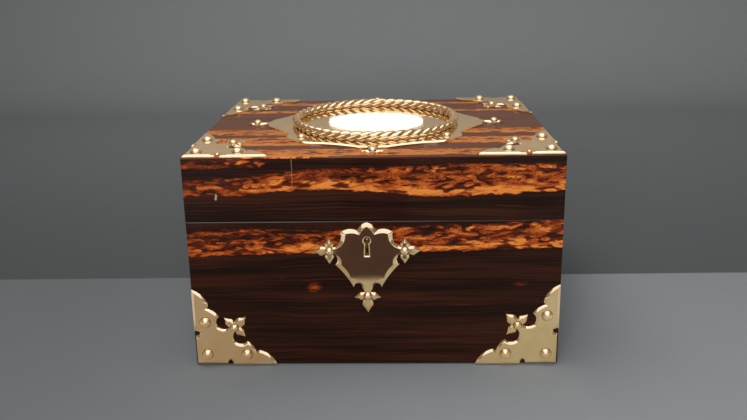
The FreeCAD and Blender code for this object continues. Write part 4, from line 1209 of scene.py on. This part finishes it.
class LOCKBOX_OT_rope_ring(bpy.types.Operator):
    """Lay the rope-twist ring on the lid's centre plate"""

    bl_idname = "lock_box.rope_ring"
    bl_label = "Rope ring"

    def execute(self, context):
        brass = polished_brass("brass_rope", rough=0.04)
        rings = self.strands(ROPE_ROUND - ROPE_STRAND, ROPE_STRAND)
        points, faces = skin(rings, closed=True)
        new_piece("twisted_rope_ring", points, faces, brass, "lid", "brass", ["rope_ring"], crease=80.0)
        return {"FINISHED"}

    def strands(self, offset, radius):
        """Round strands that wind about a circle: each is a tube along a path on a ring-shaped surface.

        At angle t of the circle, a strand's centre stands off the circle at the angle s + turns * t,
        where s steps evenly from strand to strand. The tube's rings are square to the path.
        """
        t = full_turn(ROPE_TURNS * TURN_STEPS)[None, :, None]
        start = (2 * np.pi * np.arange(ROPE_STRANDS) / ROPE_STRANDS)[:, None, None]
        lay = start + ROPE_TURNS * t
        outward = np.concatenate([np.cos(t), np.sin(t), np.zeros_like(t)], axis=2)
        onward = np.concatenate([-np.sin(t), np.cos(t), np.zeros_like(t)], axis=2)
        upward = np.array([0.0, 0.0, 1.0])
        off = np.cos(lay) * outward + np.sin(lay) * upward
        swing = -np.sin(lay) * outward + np.cos(lay) * upward
        rise = LID_TOP + PLATE + ROPE_SEAT + ROPE_HALF
        centre = ROPE_RADIUS * outward + rise * upward + offset * off
        way = (ROPE_RADIUS + offset * np.cos(lay)) * onward + ROPE_TURNS * offset * swing
        way = way / np.linalg.norm(way, axis=2, keepdims=True)
        beside = np.cross(way, off)
        beside = beside / np.linalg.norm(beside, axis=2, keepdims=True)
        above = np.cross(beside, way)
        angle = full_turn(STRAND_SIDES)[:, None]
        round_part = np.cos(angle) * above[:, :, None] + np.sin(angle) * beside[:, :, None]
        return centre[:, :, None] + radius * round_part


class LOCKBOX_OT_metalwork(bpy.types.Operator):
    """Finish the hinges, the lock, the link plate, the key pin and the slotted screws"""

    bl_idname = "lock_box.metalwork"
    bl_label = "Hinges and lock"

    def execute(self, context):
        drawn = worked_metal("drawn_brass", (0.76, 0.58, 0.30), (0.58, 0.41, 0.19), rough=0.26, grain=X)
        steel = worked_metal("bright_steel", (0.60, 0.60, 0.61), (0.40, 0.40, 0.42), rough=0.22, grain=X)
        leaves = ["hinge_%s_leaf_%s" % (part, side) for part in ("base", "lid") for side in ("left", "right")]
        paint(drawn, *leaves, "lock_case", "lock_cap", "link_plate")
        paint(steel, "hinge_pin_left", "hinge_pin_right", "lock_bolt", "bolt_spring")
        hinge_spots = [
            (side * HINGE_X + step * HINGE_SCREW_STEP, HINGE_SCREW_Y)
            for side in (-1, 1)
            for step in (-1, 0, 1)
        ]
        groups = (
            ("hinge_base_screws", hinge_spots, JOINT, 1, "base"),
            ("hinge_lid_screws", hinge_spots, LID_FOOT, -1, "lid"),
            ("lock_screws", [(x, LOCK_Y) for x in LOCK_SCREWS], JOINT, 1, "base"),
            ("link_plate_screws", [(x, LOCK_Y) for x in LINK_SCREWS], LID_FOOT, -1, "lid"),
        )
        for node, spots, level, facing, body in groups:
            points, faces = self.slotted_heads(np.array(spots), level, facing)
            new_piece("slotted_" + node, points, faces, drawn, body, "brass", [node])
        points, faces = self.turned_pin()
        new_piece("turned_key_pin", points, faces, steel, "base", "steel", ["key_pin"])
        return {"FINISHED"}

    def slotted_heads(self, spots, level, facing):
        """Flat heads with a slot: a disc for the slot's floor, and a bevelled half disc each side of it."""
        slot = 0.35
        foot = -1.0
        bevel = 0.15
        floor_radius = SCREW_HEAD - 0.1
        floor = [(0, foot), (0, -0.6)]
        bevelled = [(0, foot), (0, -bevel), (bevel, 0)]
        disc = [(floor_radius, 0, 1.0), (-floor_radius, 0, 1.0)]
        half = [(slot, slot - SCREW_HEAD, 1.0 - slot / SCREW_HEAD), (slot, SCREW_HEAD - slot, 0)]
        points, faces = [], []
        for outline, profile in ((disc, floor), (half, bevelled), (mirrored(half, -1, 1), bevelled)):
            rings = rings_of(outline, profile, SCREW_STEPS)
            shift = np.column_stack([spots, np.zeros(len(spots))])[:, None, None]
            turned = rings * np.array([1, facing, facing])
            part, part_faces = skin(turned[None] + shift + np.array([0, 0, level]))
            start = sum(len(block) for block in points)
            faces += [[start + corner for corner in face] for face in part_faces]
            points.append(part)
        return np.concatenate(points), faces

    def turned_pin(self):
        """The pin that a hollow key fits on: a straight rod turned about y, rounded over at its end."""
        angle = np.linspace(0.05, np.pi / 2, PIN_STEPS)
        reach = np.concatenate([KEY_PIN * np.sin(angle), [KEY_PIN]])[:, None]
        depth = np.concatenate([PIN_FRONT + KEY_PIN * (1 - np.cos(angle)), [PIN_BACK]])[:, None]
        turn = full_turn(PIN_SIDES)
        across = SHIELD_X + reach * np.cos(turn)
        up = KEY_Z + reach * np.sin(turn)
        return skin(np.stack([across, np.broadcast_to(depth, across.shape), up], axis=-1)[None, ::-1, ::-1])


class LOCKBOX_OT_carcass(bpy.types.Operator):
    """Oil the boards under the veneer"""

    bl_idname = "lock_box.carcass"
    bl_label = "Carcass boards"

    def execute(self, context):
        lengthways = plain_wood("carcass_lengthways", (X, Z, Y))
        sideways = plain_wood("carcass_sideways", (Y, Z, X))
        flat = plain_wood("carcass_flat", (X, Y, Z))
        for part in ("base", "lid"):
            paint(lengthways, part + "_front_board", part + "_back_board")
            paint(sideways, part + "_left_board", part + "_right_board")
        paint(flat, "base_bottom_board", "lid_top_board")
        return {"FINISHED"}


class LOCKBOX_OT_linings(bpy.types.Operator):
    """Fit the velvet linings of the base and the lid"""

    bl_idname = "lock_box.linings"
    bl_label = "Velvet linings"

    def execute(self, context):
        sizes = context.scene.lock_box_sizes
        velvet = velvet_pile("velvet_lining")
        linings = (
            ("lining_floor", "base", (Z, 1), sizes.floor_pad_rise / MM, 0.5),
            ("lining_front", "base", (Y, 1), 0.0, 0.3),
            ("lining_back", "base", (Y, -1), 0.0, 0.3),
            ("lining_left", "base", (X, 1), 0.0, 0.3),
            ("lining_right", "base", (X, -1), 0.0, 0.3),
            ("lining_lid", "lid", (Z, -1), sizes.lid_pad_rise / MM, 0.7),
        )
        for node, body, face, rise, fill in linings:
            points, faces, glued = self.pad(*node_box(node), face)
            piece = new_piece("velvet_" + node, points, faces, velvet, body, "velvet", [node], crease=70.0)
            if rise:
                self.swell(piece, glued, rise * MM)
        return {"FINISHED"}

    def pad(self, low, high, face):
        """A closed pad in a box: its glued side is flat, and its face is crowned and falls at the rim.

        Over the face's grid, u and v run from -1 to 1, and the face stands at the share
        r + (1 - r) * ((1 - u^8) * (1 - v^8)) ^ 0.5 of the pad's thickness, where r is the rim's.
        """
        axis, sign = face
        first, second = [number for number in (X, Y, Z) if number != axis]
        counts = [max(12, int((high[number] - low[number]) / PAD_GRID)) for number in (first, second)]
        u = np.sin(np.linspace(-1, 1, counts[0]) * np.pi / 2)[:, None]
        v = np.sin(np.linspace(-1, 1, counts[1]) * np.pi / 2)[None, :]
        crown = PAD_RIM + (1 - PAD_RIM) * np.sqrt((1 - u ** 8) * (1 - v ** 8))
        thick = high[axis] - low[axis]
        middle = np.add(low, high) / 2
        half = np.subtract(high, low) / 2
        sheets = np.empty((2, *crown.shape, 3))
        sheets[..., first] = middle[first] + half[first] * u
        sheets[..., second] = middle[second] + half[second] * v
        glued_level = low[axis] if sign > 0 else high[axis]
        sheets[0, ..., axis] = glued_level
        sheets[1, ..., axis] = glued_level + sign * thick * crown
        index = np.arange(sheets[..., 0].size).reshape(sheets.shape[:3])
        near, far = index[:, :-1], index[:, 1:]
        quads = np.stack([near[..., :-1], far[..., :-1], far[..., 1:], near[..., 1:]], axis=-1)
        outward = (sign > 0) != (axis == Y)
        back, front = quads[0].reshape(-1, 4), quads[1].reshape(-1, 4)
        rim = [
            np.concatenate([sheet[:-1, 0], sheet[-1, :-1], sheet[:0:-1, -1], sheet[0, :0:-1]])
            for sheet in index
        ]
        walls = np.stack([rim[0], np.roll(rim[0], -1), np.roll(rim[1], -1), rim[1]], axis=-1)
        if outward:
            faces = np.concatenate([back[:, ::-1], front, walls])
        else:
            faces = np.concatenate([back, front[:, ::-1], walls[:, ::-1]])
        return sheets.reshape(-1, 3), faces.tolist(), index[0].ravel()

    def swell(self, piece, glued, limit):
        """Blows the pad up as cloth with its glued side held, and lets each point move up to a limit."""
        scene = bpy.context.scene
        mesh = piece.data
        start = np.empty(len(mesh.vertices) * 3, np.float32)
        mesh.vertices.foreach_get("co", start)
        held = piece.vertex_groups.new(name="glued")
        held.add(glued.tolist(), 1.0, "REPLACE")
        cloth = piece.modifiers.new("cloth", "CLOTH")
        cloth.settings.use_pressure = True
        cloth.settings.uniform_pressure_force = PAD_PRESSURE
        cloth.settings.effector_weights.gravity = 0.0
        cloth.settings.vertex_group_mass = held.name
        cloth.point_cache.frame_start = 1
        cloth.point_cache.frame_end = PAD_FRAMES
        for number in range(1, PAD_FRAMES + 1):
            scene.frame_set(number)
        swollen = piece.evaluated_get(bpy.context.evaluated_depsgraph_get()).to_mesh()
        end = np.empty_like(start)
        swollen.vertices.foreach_get("co", end)
        move = (end - start).reshape(-1, 3)
        far = np.linalg.norm(move, axis=1, keepdims=True)
        move = move * np.minimum(1.0, limit / np.maximum(far, 1e-9))
        piece.modifiers.remove(cloth)
        scene.frame_set(1)
        mesh.vertices.foreach_set("co", start + move.ravel())
        mesh.update()


class LOCKBOX_OT_baize(bpy.types.Operator):
    """Glue the baize under the base"""

    bl_idname = "lock_box.baize"
    bl_label = "Baize"

    def execute(self, context):
        node = "base_baize"
        points, faces = self.sheet(*node_box(node))
        cloth = felted_cloth("green_baize")
        piece = new_piece("felted_" + node, points, faces, cloth, "base", "baize", [node], crease=60.0)
        return {"FINISHED"}

    def sheet(self, low, high):
        """A thin slab with soft edges, carried round the rectangle of its cut."""
        thick = high[Z] - low[Z]
        profile = [(0.3, 0), (0.1, 0.1), (0, thick / 2), (0.1, thick - 0.1), (0.3, thick)]
        return skin(rings_of(rectangle(low, high), profile, BAIZE_STEPS)[None] + np.array([0, 0, low[Z]]))


class LOCKBOX_OT_stage(bpy.types.Operator):
    """Set up the table, the backdrop, the lights and the camera"""

    bl_idname = "lock_box.stage"
    bl_label = "Stage"

    def execute(self, context):
        scene = context.scene
        self.sheet(scene)
        self.lights(scene)
        self.cards(scene)
        self.camera(scene)
        scene.view_settings.view_transform = "Standard"
        return {"FINISHED"}

    def sheet(self, scene):
        """A table that runs back, turns up in a round cove and goes on as a wall."""
        turn = np.linspace(0, np.pi / 2, 16)
        wall = WALL_FOOT + WALL_COVE
        y = np.concatenate([[TABLE_FRONT, -1000.0, 0.0], WALL_FOOT + WALL_COVE * np.sin(turn), [wall]])
        z = np.concatenate([[0.0, 0.0, 0.0], WALL_COVE * (1 - np.cos(turn)), [WALL_TOP]]) - 0.1
        x = np.linspace(-STAGE_HALF, STAGE_HALF, 7)
        shape = (len(y), len(x))
        points = np.stack([
            np.broadcast_to(x[None, :], shape),
            np.broadcast_to(y[:, None], shape),
            np.broadcast_to(z[:, None], shape),
        ], axis=-1)
        faces = grid_quads(np.arange(len(y) * len(x)).reshape(shape), round_about=False)
        self.show(scene, points.reshape(-1, 3), faces, self.sheet_finish(scene.lock_box_colours))

    def show(self, scene, points, faces, material):
        """A mesh of the stage, named for its material."""
        mesh = bpy.data.meshes.new(material.name)
        mesh.from_pydata((points * MM).tolist(), [], faces)
        mesh.shade_smooth()
        mesh.materials.append(material)
        piece = bpy.data.objects.new(material.name, mesh)
        scene.collection.objects.link(piece)
        return piece

    def sheet_finish(self, colours):
        """Matt paper, paler on the table than on the wall, with painted light and shade across it, and
        painted reflections in a room's tones that only mirrors see.

        In a mirror, the painted reflection of the table is warm under the box and pale beside it, a painted
        dark patch stands before the shield, and the wall has a painted glow higher up.
        """
        graph = new_material("stage_sheet")
        across, depth, rise = graph.place().axes()
        far = (depth - across * 0.01).step(TABLE_END - 1, TABLE_END + 1)
        fibre = graph.noise(graph.place() / 40, 3.0) * 0.04 + 0.98
        # Painted light and shade: the table brightens towards the right, and the sheet brightens from the
        # table's end back to the wall, and towards the right.
        table_painted_light = across.step(-350.0, 350.0) * 0.6 + 0.72
        wall_painted_light = (depth / 1000).step(-0.15, 1.15) * 1.15 + 0.55 + across * 0.0002
        colour = far.mix(colours.table, colours.backdrop) * fibre * far.mix(table_painted_light, wall_painted_light)
        # Painted reflections, seen only by mirrors: a warm table under the box, paler beside it, the backdrop
        # behind, and a dark patch before the shield.
        warm = across.step(-150.0, 150.0).mix((0.43, 0.36, 0.27), (0.56, 0.53, 0.39))
        room = abs(across).step(190.0, 250.0).mix(warm, (0.75, 0.71, 0.64))
        room = far.mix(room, colours.backdrop)
        dark_reflection_patch = (-depth).step(278.0, 298.0) * (1 - abs(across + 12).step(36.0, 56.0))
        room = dark_reflection_patch.mix(room, (0.07, 0.042, 0.035))
        in_mirror = graph.node("ShaderNodeLightPath", {}, {}, "Is Glossy Ray")
        # A painted glow on the wall, seen only in mirrors.
        glow = in_mirror * rise.step(150.0, 600.0) * 0.9
        return graph.surface(
            Base_Color=in_mirror.mix(colour, room),
            Roughness=0.85,
            Specular_IOR_Level=0.0,
            Emission_Color=glow.mix((0, 0, 0), (0.44, 0.345, 0.235)),
            Emission_Strength=1.0,
        )

    def lights(self, scene):
        """A large soft light overhead, one in front, and a dim room that mirrors see warmer and brighter."""
        lamps = (
            ("ceiling_light", (-0.2, -0.15, 1.35), (0.0, 0.0, 0.0), (1.1, 0.8), 10.0),
            ("front_light", (-0.10, -1.50, 0.55), (0.0, 0.0, 0.10), (1.0, 0.5), 20.0),
        )
        for name, spot, aim, (width, height), power in lamps:
            lamp = bpy.data.lights.new(name, "AREA")
            lamp.shape = "RECTANGLE"
            lamp.size = width
            lamp.size_y = height
            lamp.energy = power
            light = bpy.data.objects.new(name, lamp)
            light.location = spot
            way = np.array(aim) - np.array(spot)
            turn = math.atan2(-way[0], way[1])
            light.rotation_euler = (math.atan2(np.hypot(way[0], way[1]), -way[2]), 0.0, turn)
            light.visible_camera = False
            light.visible_glossy = False
            scene.collection.objects.link(light)
        world = bpy.data.worlds.new("studio")
        scene.world = world
        graph = Graph(world)
        in_mirror = graph.node("ShaderNodeLightPath", {}, {}, "Is Glossy Ray")
        room = in_mirror.mix((0.5, 0.5, 0.49), (0.42, 0.31, 0.19))
        shade = graph.node("ShaderNodeBackground", {}, {"Color": room, "Strength": in_mirror * 0.5 + 0.2})
        graph.node("ShaderNodeOutputWorld", {}, {"Surface": shade})

    def cards(self, scene):
        """Lit cards that only mirrors see: an oval behind the box, one in front of it and one overhead."""
        turn = full_turn(72)
        round_card = np.stack([np.cos(turn), np.sin(turn)], axis=1)
        square_card = np.array([(-1.0, -1.0), (1.0, -1.0), (1.0, 1.0), (-1.0, 1.0)])
        cards = (
            ("glare_card", round_card, (-16.0, 670.0, 332.0), (86.0, 0.0, 0.0), (0.0, 0.0, 17.0), 3.0),
            ("front_card", square_card, (0.0, -1500.0, 875.0), (900.0, 0.0, 0.0), (0.0, 0.0, 625.0), 1.2),
            ("top_card", square_card, (0.0, -500.0, 1350.0), (1000.0, 0.0, 0.0), (0.0, 800.0, 0.0), 1.7),
        )
        for name, shape, middle, across, along, strength in cards:
            points = np.array(middle) + shape[:, :1] * np.array(across) + shape[:, 1:] * np.array(along)
            graph = new_material(name)
            light = graph.node("ShaderNodeEmission", {}, {"Color": (1.0, 0.98, 0.95), "Strength": strength})
            graph.node("ShaderNodeOutputMaterial", {}, {"Surface": light})
            card = self.show(scene, points, [list(range(len(points)))], graph.owner)
            card.visible_camera = False
            card.visible_diffuse = False
            card.visible_shadow = False

    def camera(self, scene):
        """The photograph's point of view, with the middle of sight above the picture's centre."""
        lens = bpy.data.cameras.new("camera")
        lens.lens = PHOTO_FOCUS / PHOTO_WIDTH * lens.sensor_width
        lens.shift_y = -PHOTO_RISE / PHOTO_WIDTH
        eye = bpy.data.objects.new("camera", lens)
        eye.location = EYE_PLACE
        eye.rotation_euler = [math.radians(turn) for turn in EYE_TURNS]
        scene.collection.objects.link(eye)
        scene.camera = eye


class LOCKBOX_PT_panel(bpy.types.Panel):
    """Steps of the lock box in the order they are run"""

    bl_label = "Lock box"
    bl_idname = "LOCKBOX_PT_panel"
    bl_space_type = "VIEW_3D"
    bl_region_type = "UI"
    bl_category = "Lock box"

    def draw(self, context):
        for group in (context.scene.lock_box_sizes, context.scene.lock_box_colours):
            for key in type(group).__annotations__:
                self.layout.prop(group, key)
        for step in STEPS:
            self.layout.operator(step.bl_idname)


STEPS = (
    LOCKBOX_OT_carcass,
    LOCKBOX_OT_veneers,
    LOCKBOX_OT_plates,
    LOCKBOX_OT_studs,
    LOCKBOX_OT_rope_ring,
    LOCKBOX_OT_metalwork,
    LOCKBOX_OT_linings,
    LOCKBOX_OT_baize,
    LOCKBOX_OT_stage,
)
CLASSES = (LockBoxSizes, LockBoxColours, *STEPS, LOCKBOX_PT_panel)


def register():
    """Adds the box's sizes, colours, steps and panel to Blender."""
    for entry in CLASSES:
        bpy.utils.register_class(entry)
    bpy.types.Scene.lock_box_sizes = bpy.props.PointerProperty(type=LockBoxSizes)
    bpy.types.Scene.lock_box_colours = bpy.props.PointerProperty(type=LockBoxColours)


def unregister():
    """Takes them out again."""
    del bpy.types.Scene.lock_box_colours
    del bpy.types.Scene.lock_box_sizes
    for entry in reversed(CLASSES):
        bpy.utils.unregister_class(entry)


def main():
    """Runs every step."""
    register()
    bpy.ops.lock_box.carcass()
    bpy.ops.lock_box.veneers()
    bpy.ops.lock_box.plates()
    bpy.ops.lock_box.studs()
    bpy.ops.lock_box.rope_ring()
    bpy.ops.lock_box.metalwork()
    bpy.ops.lock_box.linings()
    bpy.ops.lock_box.baize()
    bpy.ops.lock_box.stage()


if __name__ == "__main__":
    main()
